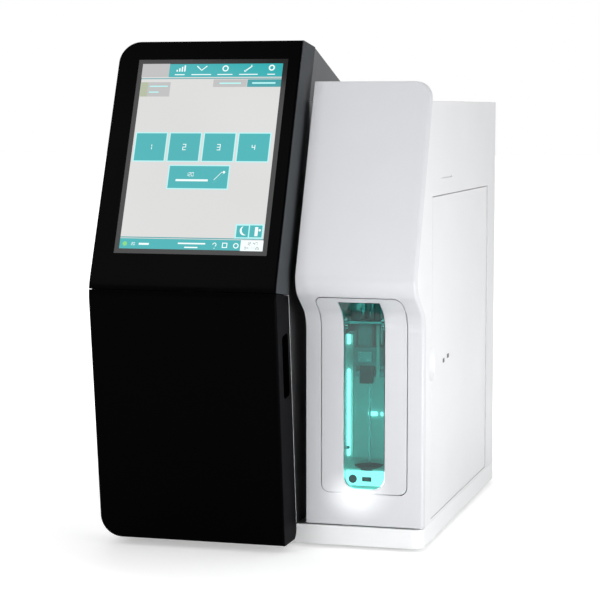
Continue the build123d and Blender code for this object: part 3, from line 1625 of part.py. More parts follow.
tube_y = track_floor_y - tube_forward
tube_orbit = track_radius - tube_radius - slip / 2
tube_in_x = pump_x - tube_orbit
tube_out_x = pump_x + tube_orbit
valve_xs = (pump_x + valve_from_pump, pump_x + valve_from_pump + valve_pitch)
valve_z = pump_z + pump_radius + valve_rise
valve_face_y = tube_y + valve_tube_depth

with BuildPart() as pinch_valves:
    for valve_x in valve_xs:
        with BuildSketch(front_plane(fluid_face_y)):
            with Locations((valve_x, valve_z)):
                RectangleRounded(valve_width, valve_height, valve_corner_radius)
        extrude(amount=fluid_face_y - valve_face_y)
        with BuildSketch(front_plane(valve_face_y)):
            with Locations((valve_x, valve_z)):
                Circle(valve_head_radius)
        extrude(amount=valve_head_height)
        with BuildSketch(front_plane(valve_face_y - valve_head_height + valve_slot_depth)):
            with Locations((valve_x, valve_z)):
                Rectangle(2 * valve_head_radius, 2 * (tube_radius + slip / 2))
        extrude(amount=valve_slot_depth, mode=Mode.SUBTRACT)
save(pinch_valves, "pinch_valves")

with BuildPart() as waste_tube:
    with BuildLine() as tube_path:
        FilletPolyline(
            (tube_in_x, tube_y, electrode_low_z - rack_ledge),
            (tube_in_x, tube_y, pump_z - tube_orbit),
            (tube_out_x, tube_y, pump_z - tube_orbit),
            (tube_out_x, tube_y, valve_z),
            (fluid_right_x - fluid_wall, tube_y, valve_z),
            radius=[tube_orbit - slip / 10, tube_orbit - slip / 10, tube_bend],
        )
    with BuildSketch(Plane(origin=tube_path.line @ 0, z_dir=tube_path.line % 0)):
        Circle(tube_radius)
    sweep(path=tube_path.line)
save(waste_tube, "waste_tube")
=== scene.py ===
# %% [markdown]
# A bench-top electrolyte analyzer, dressed around its finished construction model. The frame brings
# every moulded and turned part at its real size, already sorted into the bodies that move. This
# lesson adds what a construction model leaves out: the finish of each surface, the lit picture on
# the touch screen, the glow in the sample bay, and the soft light of a product photograph.

import math

import bpy
from mathutils import Matrix, Vector


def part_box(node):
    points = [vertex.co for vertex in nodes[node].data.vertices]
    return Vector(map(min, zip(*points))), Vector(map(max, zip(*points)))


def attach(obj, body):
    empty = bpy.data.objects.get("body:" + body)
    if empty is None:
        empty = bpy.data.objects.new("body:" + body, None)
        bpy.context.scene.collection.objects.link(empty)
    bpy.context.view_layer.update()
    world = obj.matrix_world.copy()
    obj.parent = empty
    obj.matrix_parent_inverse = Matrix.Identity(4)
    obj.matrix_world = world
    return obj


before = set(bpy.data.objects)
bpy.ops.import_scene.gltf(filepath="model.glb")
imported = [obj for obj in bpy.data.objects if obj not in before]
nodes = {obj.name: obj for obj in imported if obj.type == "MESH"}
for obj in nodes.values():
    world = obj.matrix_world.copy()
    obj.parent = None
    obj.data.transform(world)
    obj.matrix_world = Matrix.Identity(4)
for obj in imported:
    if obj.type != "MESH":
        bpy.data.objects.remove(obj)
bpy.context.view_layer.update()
MM = 0.001

# %% [markdown]
# The photograph was taken from a little above the middle of the case, turned to the right so that
# the white side wall shows. A camera is three facts: where it stands, where it looks and how long
# its lens is. These came from the corners of the case, so they are written down once here, and
# nothing in the model moves to suit the camera.

# %% Camera
VIEW_TURN = math.radians(15.5)
VIEW_DROP = math.radians(5.44)
camera_data = bpy.data.cameras.new("photo_camera")
camera_data.lens = 119.27
camera_data.sensor_width = 36.0
camera_data.sensor_height = 36.0
camera_data.clip_end = 40.0
camera = bpy.data.objects.new("photo_camera", camera_data)
camera.location = (0.4615, -1.6924, 0.3585)
camera.rotation_euler = (math.pi / 2 - VIEW_DROP, 0.0, VIEW_TURN)
bpy.context.scene.collection.objects.link(camera)
bpy.context.scene.camera = camera
print("camera at", tuple(camera.location), "lens", camera_data.lens)

# %% [markdown]
# Colours are easiest to judge as the eight-bit values that a picture viewer shows, but shaders want
# linear light. One small helper does that step, so every colour in this file can be read against
# the photograph.


# %% Colour helper
def paint(red, green, blue):
    """Linear colour, with alpha, from eight-bit display values."""
    def linear(value):
        share = value / 255
        return share / 12.92 if share <= 0.04045 else ((share + 0.055) / 1.055) ** 2.4

    return (linear(red), linear(green), linear(blue), 1.0)


print("mid grey", [round(v, 3) for v in paint(128, 128, 128)])

# %% [markdown]
# Several effects return on many parts: the fine grain of a moulding tool, the soft shine of edges
# that hands have touched, brushing on metal. Each is built once as a node group that puts out a
# value, a colour or a normal. The shader itself stays in the material, because gloss belongs to the
# material and not to the effect.


# %% Group helper
def new_group(name, inputs, outputs):
    """An empty shader node group with named sockets, and its two end nodes."""
    group = bpy.data.node_groups.new(name, "ShaderNodeTree")
    for label, kind, value in inputs:
        socket = group.interface.new_socket(name=label, in_out="INPUT", socket_type=kind)
        socket.default_value = value
    for label, kind in outputs:
        group.interface.new_socket(name=label, in_out="OUTPUT", socket_type=kind)
    return group, group.nodes.new("NodeGroupInput"), group.nodes.new("NodeGroupOutput")


def feed(tree, slot, value):
    """Links an input to a socket, or sets it to a plain value."""
    if isinstance(value, bpy.types.NodeSocket):
        tree.links.new(value, slot)
    else:
        slot.default_value = value


def math_node(tree, operation, first, second):
    """A Math node fed by sockets or plain numbers."""
    node = tree.nodes.new("ShaderNodeMath")
    node.operation = operation
    feed(tree, node.inputs[0], first)
    feed(tree, node.inputs[1], second)
    return node.outputs["Value"]


def vector_node(tree, operation, *values):
    """The outputs of a Vector Math node fed by sockets or plain values."""
    node = tree.nodes.new("ShaderNodeVectorMath")
    node.operation = operation
    for slot, value in zip(node.inputs, values):
        feed(tree, slot, value)
    return node.outputs


def spread(tree, value, low, high, to_low, to_high):
    """A clamped change of range."""
    node = tree.nodes.new("ShaderNodeMapRange")
    tree.links.new(value, node.inputs["Value"])
    for label, number in (("From Min", low), ("From Max", high), ("To Min", to_low), ("To Max", to_high)):
        feed(tree, node.inputs[label], number)
    return node.outputs["Result"]


def slow_swing(tree, place, scale, detail):
    """Slow noise that swings between -1 and 1."""
    noise = tree.nodes.new("ShaderNodeTexNoise")
    tree.links.new(place, noise.inputs["Vector"])
    noise.inputs["Scale"].default_value = scale
    noise.inputs["Detail"].default_value = detail
    return spread(tree, noise.outputs["Fac"], 0.3, 0.7, -1.0, 1.0)


def toned(tree, colour, swing, play):
    """A colour that gets a little lighter and darker with a swing."""
    node = tree.nodes.new("ShaderNodeVectorMath")
    node.operation = "SCALE"
    tree.links.new(colour, node.inputs[0])
    gain = math_node(tree, "ADD", math_node(tree, "MULTIPLY", swing, play), 1.0)
    tree.links.new(gain, node.inputs["Scale"])
    return node.outputs["Vector"]


def object_place(tree):
    """Object coordinates, so that a pattern stays on its part when the part moves."""
    return tree.nodes.new("ShaderNodeTexCoord").outputs["Object"]


def seen_directly(tree):
    """1 for camera, mirror and glass rays, and 0 for diffuse light."""
    rays = tree.nodes.new("ShaderNodeLightPath")
    seen = math_node(tree, "MAXIMUM", rays.outputs["Is Camera Ray"], rays.outputs["Is Glossy Ray"])
    return math_node(tree, "MAXIMUM", seen, rays.outputs["Is Transmission Ray"])


# %% [markdown]
# Injection moulded cases carry a spark-eroded grain: a fine pebble, about half a millimetre across,
# with a slower waviness under it where thick ribs shrank. Two noise textures on object coordinates
# give both. The group returns a height for a Bump node, a roughness and a faint change of tone.


# %% Moulded grain group
def make_moulded_grain():
    """Pebble grain, slow waviness and a faint change of tone of moulded plastic."""
    group, start, end = new_group(
        "moulded_grain",
        [("Grain Size mm", "NodeSocketFloat", 0.5), ("Roughness", "NodeSocketFloat", 0.4),
         ("Roughness Play", "NodeSocketFloat", 0.06), ("Colour", "NodeSocketColor", (1, 1, 1, 1)),
         ("Tone Play", "NodeSocketFloat", 0.02)],
        [("Colour", "NodeSocketColor"), ("Roughness", "NodeSocketFloat"), ("Height", "NodeSocketFloat")],
    )
    links = group.links
    place = object_place(group)
    pebble = group.nodes.new("ShaderNodeTexNoise")
    links.new(place, pebble.inputs["Vector"])
    links.new(math_node(group, "DIVIDE", 1000.0, start.outputs["Grain Size mm"]), pebble.inputs["Scale"])
    pebble.inputs["Detail"].default_value = 1.5
    links.new(pebble.outputs["Fac"], end.inputs["Height"])
    swing = slow_swing(group, place, 14.0, 2.0)
    shift = math_node(group, "MULTIPLY", swing, start.outputs["Roughness Play"])
    links.new(math_node(group, "ADD", start.outputs["Roughness"], shift), end.inputs["Roughness"])
    colour = toned(group, start.outputs["Colour"], swing, start.outputs["Tone Play"])
    links.new(colour, end.inputs["Colour"])
    return group


moulded_grain = make_moulded_grain()
print("group", moulded_grain.name)

# %% [markdown]
# No moulded edge is truly sharp. The Bevel node reads the nearby faces and returns a normal that
# turns gently round each arris, and the angle between that normal and the face's own says how near
# an edge is. The group gives the soft normal and that edge mask, which lets handled edges wear.


# %% Soft edge group
def make_soft_edge():
    """A normal that rounds small edges, and a mask that is 1 on them."""
    group, start, end = new_group(
        "soft_edge", [("Radius mm", "NodeSocketFloat", 0.4)],
        [("Normal", "NodeSocketVector"), ("Edge", "NodeSocketFloat")],
    )
    links = group.links
    bevel = group.nodes.new("ShaderNodeBevel")
    bevel.samples = 4
    links.new(math_node(group, "MULTIPLY", start.outputs["Radius mm"], MM), bevel.inputs["Radius"])
    true_normal = group.nodes.new("ShaderNodeNewGeometry").outputs["Normal"]
    dot = vector_node(group, "DOT_PRODUCT", bevel.outputs["Normal"], true_normal)
    links.new(spread(group, dot["Value"], 0.985, 0.80, 0.0, 1.0), end.inputs["Edge"])
    links.new(bevel.outputs["Normal"], end.inputs["Normal"])
    return group


soft_edge = make_soft_edge()
print("group", soft_edge.name)

# %% [markdown]
# Metal parts are either brushed sheet or turned bar. Both show fine lines in one direction, which
# is a noise texture squeezed along two axes. The group gives the line pattern as a value, and each
# metal decides how strongly it sets its roughness and height.


# %% Brushed line group
def make_brushed_lines():
    """Fine parallel lines along one axis, as a value from 0 to 1."""
    group, start, end = new_group(
        "brushed_lines",
        [("Stretch", "NodeSocketVector", (1.0, 1.0, 0.02)), ("Fineness", "NodeSocketFloat", 2500.0)],
        [("Lines", "NodeSocketFloat")],
    )
    links = group.links
    squeezed = vector_node(group, "MULTIPLY", object_place(group), start.outputs["Stretch"])
    noise = group.nodes.new("ShaderNodeTexNoise")
    noise.inputs["Detail"].default_value = 2.0
    links.new(squeezed["Vector"], noise.inputs["Vector"])
    links.new(start.outputs["Fineness"], noise.inputs["Scale"])
    links.new(noise.outputs["Fac"], end.inputs["Lines"])
    return group


brushed_lines = make_brushed_lines()
print("group", brushed_lines.name)


# %% [markdown]
# A material here always starts the same way: a Principled shader, and the groups placed beside it
# with their own values. The helpers below keep each finish down to the few lines that make it
# different from the others.


# %% Material helpers
def new_material(name, **constants):
    """A material with one Principled shader whose plain sockets are set by name."""
    material = bpy.data.materials.new(name)
    material.use_nodes = True
    shader = material.node_tree.nodes["Principled BSDF"]
    for label, value in constants.items():
        shader.inputs[label.replace("_", " ")].default_value = value
    return material, material.node_tree, shader


def place_group(tree, group, **values):
    """A group node in a material, with its inputs set by name."""
    node = tree.nodes.new("ShaderNodeGroup")
    node.node_tree = group
    for label, value in values.items():
        node.inputs[label.replace("_", " ")].default_value = value
    return node


def grained_material(name, grain, **constants):
    """A material whose colour and roughness come from the moulded grain, and the grain's height."""
    material, tree, shader = new_material(name, **constants)
    node = place_group(tree, moulded_grain, **grain)
    tree.links.new(node.outputs["Colour"], shader.inputs["Base Color"])
    tree.links.new(node.outputs["Roughness"], shader.inputs["Roughness"])
    return material, tree, shader, node.outputs["Height"]


def bump_on(tree, shader, height, strength, distance_mm, base_normal=None):
    """Feeds a height to the shader's normal, over another normal where there is one."""
    bump = tree.nodes.new("ShaderNodeBump")
    bump.inputs["Strength"].default_value = strength
    bump.inputs["Distance"].default_value = distance_mm * MM
    tree.links.new(height, bump.inputs["Height"])
    if base_normal is not None:
        tree.links.new(base_normal, bump.inputs["Normal"])
    tree.links.new(bump.outputs["Normal"], shader.inputs["Normal"])


def blend(tree, share, first, second):
    """A colour mix: first where share is 0, second where it is 1."""
    mix = tree.nodes.new("ShaderNodeMix")
    mix.data_type = "RGBA"
    tree.links.new(share, mix.inputs["Factor"])
    feed(tree, mix.inputs[6], first)
    feed(tree, mix.inputs[7], second)
    return mix.outputs[2]


def dress(material, *names):
    """Gives CAD nodes this material."""
    for name in names:
        slots = nodes[name].data.materials
        slots.clear()
        slots.append(material)


# %% [markdown]
# The black module has a gloss front and satin side walls. The side walls also carry painted side
# light in their colour: slate grey on the housing and a dull near black on the door. The group below
# tells the two apart by the direction in which a face looks: its normal in the part's own space. It
# puts out a mask, which stays on the wall when the door swings.


# %% Side wall mask group
def make_side_wall():
    """A mask that is 1 on faces that look left or right."""
    group, start, end = new_group(
        "side_wall", [("From", "NodeSocketFloat", 0.75), ("To", "NodeSocketFloat", 0.95)],
        [("Mask", "NodeSocketFloat")],
    )
    facing = group.nodes.new("ShaderNodeSeparateXYZ")
    group.links.new(group.nodes.new("ShaderNodeTexCoord").outputs["Normal"], facing.inputs["Vector"])
    sideways = math_node(group, "ABSOLUTE", facing.outputs["X"], 0.0)
    group.links.new(spread(group, sideways, start.outputs["From"], start.outputs["To"], 0.0, 1.0),
                    end.inputs["Mask"])
    return group


side_wall = make_side_wall()
print("group", side_wall.name)

# %% [markdown]
# Moulded plastics differ in colour, gloss, grain and in how an edge wears: white cases get a little
# greyer on their arrises, black ones a little paler. Where asked, the side walls also get painted
# side light in their colour. One function makes them all from those facts.


# %% Moulded plastics
EDGE_WEAR, SATIN_ROUGHNESS = 0.5, 0.25


def moulded_plastic(name, colour, roughness, grain_mm=0.5, grain_strength=0.12, edge_colour=None,
                    edge_radius=0.5, tone_play=0.02, specular=0.5, coat=0.0, painted_side_light=None):
    """A moulded plastic with grain, faint tone changes, worn arrises and, where asked, satin side walls
    with painted side light.
    """
    material, tree, shader = new_material(name, Specular_IOR_Level=specular, Coat_Weight=coat,
                                          Coat_Roughness=0.05)
    grain = place_group(tree, moulded_grain, Grain_Size_mm=grain_mm, Roughness=roughness, Colour=colour,
                        Tone_Play=tone_play)
    edges = place_group(tree, soft_edge, Radius_mm=edge_radius)
    colour_now, roughness_now = grain.outputs["Colour"], grain.outputs["Roughness"]
    if edge_colour is not None:
        wear = math_node(tree, "MULTIPLY", edges.outputs["Edge"], EDGE_WEAR)
        colour_now = blend(tree, wear, colour_now, edge_colour)
    # Painted side light: faces that look left or right take a flat colour for the light on them, and satin
    # roughness.
    if painted_side_light is not None:
        side_light_and_satin = place_group(tree, side_wall).outputs["Mask"]
        colour_now = blend(tree, side_light_and_satin, colour_now, painted_side_light)
        satin = math_node(tree, "MULTIPLY", side_light_and_satin, SATIN_ROUGHNESS)
        roughness_now = math_node(tree, "ADD", roughness_now, satin)
    tree.links.new(colour_now, shader.inputs["Base Color"])
    tree.links.new(roughness_now, shader.inputs["Roughness"])
    bump_on(tree, shader, grain.outputs["Height"], grain_strength, 0.05, edges.outputs["Normal"])
    return material


CASE_WHITE = {"colour": paint(240, 241, 243), "roughness": 0.42, "edge_colour": paint(226, 228, 232)}
DEEP_BLACK = {"colour": paint(2, 2, 3), "roughness": 0.2, "grain_mm": 0.9, "grain_strength": 0.03,
              "edge_colour": paint(10, 10, 11), "specular": 0.012}
white_case = moulded_plastic("white_case", **CASE_WHITE)
body_white = moulded_plastic("body_white", **CASE_WHITE)
# Base and fascia are the case white: the base is painted paler as painted light, the fascia darker as
# painted shade, and the fascia also gets the painted light pool below.
white_base_lit = moulded_plastic("white_base_lit", paint(250, 251, 252), 0.42, edge_colour=paint(238, 240, 243))
white_front_shade_and_pool = moulded_plastic("white_front_shade_and_pool", paint(224, 225, 229), 0.36, grain_mm=0.4,
                              edge_colour=paint(210, 213, 218))
# The side colours are painted side light: slate grey on the housing's lit side, a dull near black on the
# door's side.
black_gloss = moulded_plastic("black_gloss", painted_side_light=paint(76, 79, 82), **DEEP_BLACK)
black_door = moulded_plastic("black_door", painted_side_light=paint(17, 17, 19), **DEEP_BLACK)
probe_grey = moulded_plastic("probe_grey", paint(150, 156, 158), 0.38, edge_colour=paint(170, 175, 177))
slate_cover = moulded_plastic("slate_cover", paint(56, 59, 62), 0.45, edge_colour=paint(74, 78, 81))
dark_moulding = moulded_plastic("dark_moulding", paint(34, 35, 38), 0.45, edge_colour=paint(56, 57, 60))
soft_rubber = moulded_plastic("soft_rubber", paint(28, 28, 29), 0.72, grain_mm=0.7, grain_strength=0.3)
cartridge_grey = moulded_plastic("cartridge_grey", paint(205, 210, 211), 0.40,
                                 edge_colour=paint(190, 195, 197))
roller_white = moulded_plastic("roller_white", paint(228, 228, 222), 0.3, grain_strength=0.05)
electrode_clear = moulded_plastic("electrode_clear", paint(214, 220, 208), 0.18, grain_strength=0.03,
                                  coat=0.4)
print("plastics", 13)

# %% [markdown]
# The wall of the case that faces the fascia across the narrow gap gets a near black painted shade,
# for the deep shadow in the gap, so that the gap reads as one dark line. Three ramps on position
# bound that painted shade, and the side wall mask keeps it off the faces round it.

# %% Painted gap shade
GAP_SHADE_ZONE = ((18.0, 22.0, 0.0, 1.0, "X"), (30.0, 34.0, 1.0, 0.0, "X"), (-96.0, -92.0, 1.0, 0.0, "Y"))
body_tree = body_white.node_tree
body_shader = body_tree.nodes["Principled BSDF"]
body_place = body_tree.nodes.new("ShaderNodeSeparateXYZ")
body_tree.links.new(object_place(body_tree), body_place.inputs["Vector"])
gap_shade_mask = place_group(body_tree, side_wall).outputs["Mask"]
for low, high, at_low, at_high, axis in GAP_SHADE_ZONE:
    ramp = spread(body_tree, body_place.outputs[axis], low * MM, high * MM, at_low, at_high)
    gap_shade_mask = math_node(body_tree, "MULTIPLY", gap_shade_mask, ramp)
plain_colour = body_shader.inputs["Base Color"].links[0].from_socket
body_tree.links.new(blend(body_tree, gap_shade_mask, plain_colour, paint(9, 9, 10)),
                    body_shader.inputs["Base Color"])
print("gap wall from y", GAP_SHADE_ZONE[2][0], "mm forward")

# %% [markdown]
# The light that leaves the bay under the sample door falls on the fascia as a soft white pool. It is
# worked out here as an oval that fades outwards, in millimetres on the front, and drives a faint
# emission, so the pool stays where the opening is.


# %% Light pool group
def make_light_pool():
    """A value that is 1 in the middle of an oval on the front and fades to 0 at its rim."""
    group, start, end = new_group(
        "light_pool",
        [("Centre", "NodeSocketVector", (0.0, 0.0, 0.0)), ("Size", "NodeSocketVector", (1.0, 1.0, 1.0))],
        [("Pool", "NodeSocketFloat")],
    )
    offset = vector_node(group, "SUBTRACT", object_place(group), start.outputs["Centre"])["Vector"]
    shrunk = vector_node(group, "DIVIDE", offset, start.outputs["Size"])["Vector"]
    fade = spread(group, vector_node(group, "LENGTH", shrunk)["Value"], 0.15, 1.0, 1.0, 0.0)
    group.links.new(math_node(group, "POWER", fade, 1.6), end.inputs["Pool"])
    return group


light_pool = make_light_pool()
POOL_CENTRE = (76.0 * MM, -129.6 * MM, 44.0 * MM)
POOL_SIZE = (34.0 * MM, 40.0 * MM, 25.0 * MM)
POOL_STRENGTH = 0.55
front_tree = white_front_shade_and_pool.node_tree
front_shader = front_tree.nodes["Principled BSDF"]
front_shader.inputs["Emission Color"].default_value = paint(252, 255, 255)
pool = place_group(front_tree, light_pool, Centre=POOL_CENTRE, Size=POOL_SIZE)
front_tree.links.new(math_node(front_tree, "MULTIPLY", pool.outputs["Pool"], POOL_STRENGTH),
                     front_shader.inputs["Emission Strength"])
print("pool at", [round(v / MM, 1) for v in POOL_CENTRE], "mm")

# %% [markdown]
# Steel shows in the needle, rods, screws and hinge pins, and zinc-plated sheet carries them. Turned
# steel gets fine lines round or along it; plated sheet has a crystal tone instead.


# %% Metals
def brushed_metal(name, colour, roughness, stretch=(1.0, 1.0, 0.02), fineness=2500.0):
    """A metal with fine lines in its roughness and height."""
    material, tree, shader = new_material(name, Metallic=1.0)
    lines = place_group(tree, brushed_lines, Stretch=stretch, Fineness=fineness)
    edges = place_group(tree, soft_edge, Radius_mm=0.2)
    ramp = spread(tree, lines.outputs["Lines"], 0.25, 0.75, roughness - 0.08, roughness + 0.08)
    tree.links.new(ramp, shader.inputs["Roughness"])
    tone = blend(tree, lines.outputs["Lines"], [0.86 * c for c in colour[:3]] + [1], colour)
    tree.links.new(tone, shader.inputs["Base Color"])
    bump_on(tree, shader, lines.outputs["Lines"], 0.05, 0.02, edges.outputs["Normal"])
    return material


turned_steel = brushed_metal("turned_steel", paint(205, 207, 210), 0.22)
plated_sheet = brushed_metal("plated_sheet", paint(186, 190, 194), 0.38, stretch=(0.05, 1.0, 1.0),
                             fineness=900.0)
print("metals", 2)

# %% [markdown]
# Circuit boards are glass fibre under a green lacquer. The lacquer is glossy and lies over copper
# tracks, which read as slightly paler rows. A Brick texture is a quick, honest stand-in for rows of
# tracks, and the coat gives the lacquer its shine.


# %% Circuit board
def make_board():
    """Green lacquer over rows of tracks."""
    material, tree, shader = new_material("board_lacquer", Roughness=0.35, Coat_Weight=0.6,
                                          Coat_Roughness=0.08)
    rows = tree.nodes.new("ShaderNodeTexBrick")
    rows.inputs["Scale"].default_value = 60.0
    rows.inputs["Mortar Size"].default_value = 0.06
    rows.inputs["Color1"].default_value = paint(16, 84, 48)
    rows.inputs["Color2"].default_value = paint(20, 92, 54)
    rows.inputs["Mortar"].default_value = paint(60, 128, 80)
    turned = vector_node(tree, "CROSS_PRODUCT", object_place(tree), (0.577, 0.577, 0.577))
    tree.links.new(turned["Vector"], rows.inputs["Vector"])
    tree.links.new(rows.outputs["Color"], shader.inputs["Base Color"])
    bump_on(tree, shader, rows.outputs["Fac"], 0.2, 0.05)
    return material


board_lacquer = make_board()
print("board", board_lacquer.name)

# %% [markdown]
# The sample door is one thick moulding of clear acrylic, dyed teal. In Cycles a dyed solid is glass
# with a tint: light is coloured once where it goes in and once where it comes out, so the tint is
# about the square root of the colour that is seen through it.

# %% Tinted acrylic
TEAL_SEEN_THROUGH = paint(40, 164, 153)
ACRYLIC_TINT = [math.sqrt(c) for c in TEAL_SEEN_THROUGH[:3]] + [1.0]
ACRYLIC_GRAIN = {"Grain_Size_mm": 3.0, "Roughness": 0.05, "Roughness_Play": 0.02,
                 "Colour": ACRYLIC_TINT, "Tone_Play": 0.03}
acrylic, acrylic_tree, acrylic_shader, acrylic_height = grained_material(
    "tinted_acrylic", ACRYLIC_GRAIN, Transmission_Weight=1.0, IOR=1.49, Specular_IOR_Level=0.25,
    Coat_Weight=0.05, Coat_Roughness=0.03)
bump_on(acrylic_tree, acrylic_shader, acrylic_height, 0.02, 0.05)
print("acrylic tint", [round(c, 2) for c in ACRYLIC_TINT])

# %% [markdown]
# The bay behind that door is lit by a lamp bar, and its liner is an opal moulding. The liner keeps
# its gloss and has a faint emission as painted light from the bar, stronger towards the bar on its
# left, so the needle and the carriage stand out against it.

# %% Opal liner
BAR_LIGHT_FADE = 16.0
OPAL_GRAIN = {"Grain_Size_mm": 1.2, "Roughness": 0.24, "Colour": paint(222, 236, 234), "Tone_Play": 0.03}
opal_liner, opal_tree, opal_shader, opal_height = grained_material(
    "opal_liner", OPAL_GRAIN, Specular_IOR_Level=0.4, Emission_Strength=0.08)
bay_low, bay_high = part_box("sampler_liner")
bay_place = opal_tree.nodes.new("ShaderNodeSeparateXYZ")
opal_tree.links.new(object_place(opal_tree), bay_place.inputs["Vector"])
# Painted light: the liner's emission stands in for the bar's light falling on it, strongest next to the
# bar.
painted_bar_light = spread(opal_tree, bay_place.outputs["X"], bay_low.x, bay_low.x + BAR_LIGHT_FADE * MM, 1.0, 0.0)
opal_tree.links.new(blend(opal_tree, painted_bar_light, paint(150, 186, 180), paint(236, 255, 250)),
                    opal_shader.inputs["Emission Color"])
bump_on(opal_tree, opal_shader, opal_height, 0.04, 0.05)
print("liner from", [round(v / MM, 1) for v in bay_low], "to", [round(v / MM, 1) for v in bay_high])

# %% [markdown]
# The touch glass is black-bordered glass. Behind a lit picture it reads as black, so it is a very
# dark, very smooth surface with a few faint finger smears in its roughness.

# %% Touch glass
SMEARS = {"Grain_Size_mm": 18.0, "Roughness": 0.07, "Roughness_Play": 0.04, "Colour": paint(7, 7, 8),
          "Tone_Play": 0.1}
screen_glass = grained_material("screen_glass", SMEARS, Specular_IOR_Level=0.25)[0]
print("glass", screen_glass.name)

# %% [markdown]
# Now each finish goes onto the parts that have it. The shapes stay exactly as they were made; only
# the material slots change.

# %% Dress the frame
dress(body_white, "body_shell")
dress(white_case, "side_door", "rear_panel", "side_hinge_blocks")
dress(white_base_lit, "base_tray")
dress(white_front_shade_and_pool, "front_fascia", "fascia_insert")
dress(black_gloss, "display_housing")
dress(black_door, "front_door")
dress(slate_cover, "shoulder_cover")
dress(screen_glass, "touch_glass")
dress(acrylic, "sample_flap")
dress(opal_liner, "sampler_liner")
dress(roller_white, "sample_shelf")
dress(soft_rubber, "feet")
dress(turned_steel, "guide_rods", "flap_rod", "sampling_needle", "side_hinge_rod", "door_hinge_pins",
      "lift_screw", "data_ports", "pump_rotor")
dress(probe_grey, "probe_carriage")
dress(plated_sheet, "sampler_frame", "door_hinge_arms", "power_supply")
dress(board_lacquer, "display_controller", "main_board")
dress(cartridge_grey, "reagent_pack")
dress(roller_white, "pump_roller_1", "pump_roller_2", "pump_roller_3", "reagent_bay", "fluid_bay")
dress(dark_moulding, "display_panel", "drain_cup", "lift_motor", "fan_frame", "fan_rotor", "power_inlet",
      "switch_frame", "power_rocker", "electrode_rack", "pump_head", "pinch_valves")
dress(electrode_clear, "waste_tube", *[f"electrode_{n}" for n in range(1, 6)])
bare = [name for name, node in nodes.items() if not node.data.materials or node.data.materials[0] is None]
print("nodes without a finish", bare)

# %% [markdown]
# The picture on the screen lies on the leaning glass, so its own drawing plane is needed: the
# centre of the glass, the direction across and the direction up. They are read from the glass
# itself, by taking its largest face that looks forward.


# %% Screen plane
def widest_face(name, toward):
    """Centre, normal and corners of the largest flat face of a node that looks along toward."""
    mesh = nodes[name].data
    areas = {}
    for face in mesh.polygons:
        if face.normal.dot(toward) > 0.5:
            key = tuple(round(v, 2) for v in face.normal)
            areas.setdefault(key, []).append(face)
    faces = max(areas.values(), key=lambda group: sum(f.area for f in group))
    points = [mesh.vertices[i].co.copy() for f in faces for i in f.vertices]
    low = Vector([min(p[i] for p in points) for i in range(3)])
    high = Vector([max(p[i] for p in points) for i in range(3)])
    return (low + high) / 2, faces[0].normal.copy(), points


glass_centre, glass_normal, glass_points = widest_face("touch_glass", Vector((0, -1, 0)))
across = Vector((1, 0, 0))
upward = glass_normal.cross(across).normalized()
if upward.z < 0:
    upward = -upward
GLASS_BORDER = 4.0
spans = [[p.dot(way) / MM for p in glass_points] for way in (across, upward)]
picture_width, picture_height = (max(span) - min(span) - 2 * GLASS_BORDER for span in spans)
print("picture", round(picture_width, 1), "x", round(picture_height, 1), "mm")

# %% [markdown]
# A screen picture is flat shapes in layers, like paper cut-outs: ground, panels, tiles, marks. Each
# layer is one filled curve with a hair of thickness, drawn in millimetres from the middle of the
# screen. Curves fill shapes with holes by themselves, and the result is turned into a mesh.

# %% Picture shape helpers
LAYER_STEP, FIRST_LIFT = 0.03, 0.02


def rectangle(left, low, right, high):
    """Corner points of a rectangle, in millimetres."""
    return [(left, low), (right, low), (right, high), (left, high)]


def circle(x, y, radius, steps=40, start=0.0, sweep=360.0):
    """Points round a circle or an arc."""
    count = steps if sweep == 360.0 else steps + 1
    angles = [math.radians(start + sweep * i / steps) for i in range(count)]
    return [(x + radius * math.cos(a), y + radius * math.sin(a)) for a in angles]


def stroke(points, width):
    """Outline of a pen stroke through points, with square ends."""
    sides = ([], [])
    for i, point in enumerate(points):
        before = points[max(i - 1, 0)]
        after = points[min(i + 1, len(points) - 1)]
        along = Vector(after) - Vector(before)
        along.normalize()
        offset = Vector((-along.y, along.x)) * (width / 2)
        sides[0].append(tuple(Vector(point) + offset))
        sides[1].append(tuple(Vector(point) - offset))
    return sides[0] + sides[1][::-1]


def picture_layer(name, outlines, level, material):
    """One layer of the picture, from closed outlines in millimetres."""
    curve = bpy.data.curves.new(name, "CURVE")
    curve.dimensions = "2D"
    curve.fill_mode = "BOTH"
    curve.extrude = LAYER_STEP * MM / 2
    for outline in outlines:
        spline = curve.splines.new("POLY")
        spline.points.add(len(outline) - 1)
        for point, (x, y) in zip(spline.points, outline):
            point.co = (x * MM, y * MM, 0.0, 1.0)
        spline.use_cyclic_u = True
    lay_on_glass(name, curve, level, material)


def lay_on_glass(name, curve, level, material):
    """Turns a flat curve into a mesh on the glass, at its layer."""
    drawn = bpy.data.objects.new(name + "_curve", curve)
    bpy.context.scene.collection.objects.link(drawn)
    bpy.context.view_layer.update()
    mesh = bpy.data.meshes.new_from_object(drawn.evaluated_get(bpy.context.evaluated_depsgraph_get()))
    bpy.data.objects.remove(drawn)
    lift = glass_normal * ((level + 0.5) * LAYER_STEP * MM + FIRST_LIFT * MM)
    place = Matrix((across, upward, glass_normal)).transposed().to_4x4()
    place.translation = glass_centre + lift
    mesh.transform(place)
    mesh.materials.clear()
    mesh.materials.append(material)
    piece = bpy.data.objects.new(name, mesh)
    bpy.context.scene.collection.objects.link(piece)
    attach(piece, "housing")


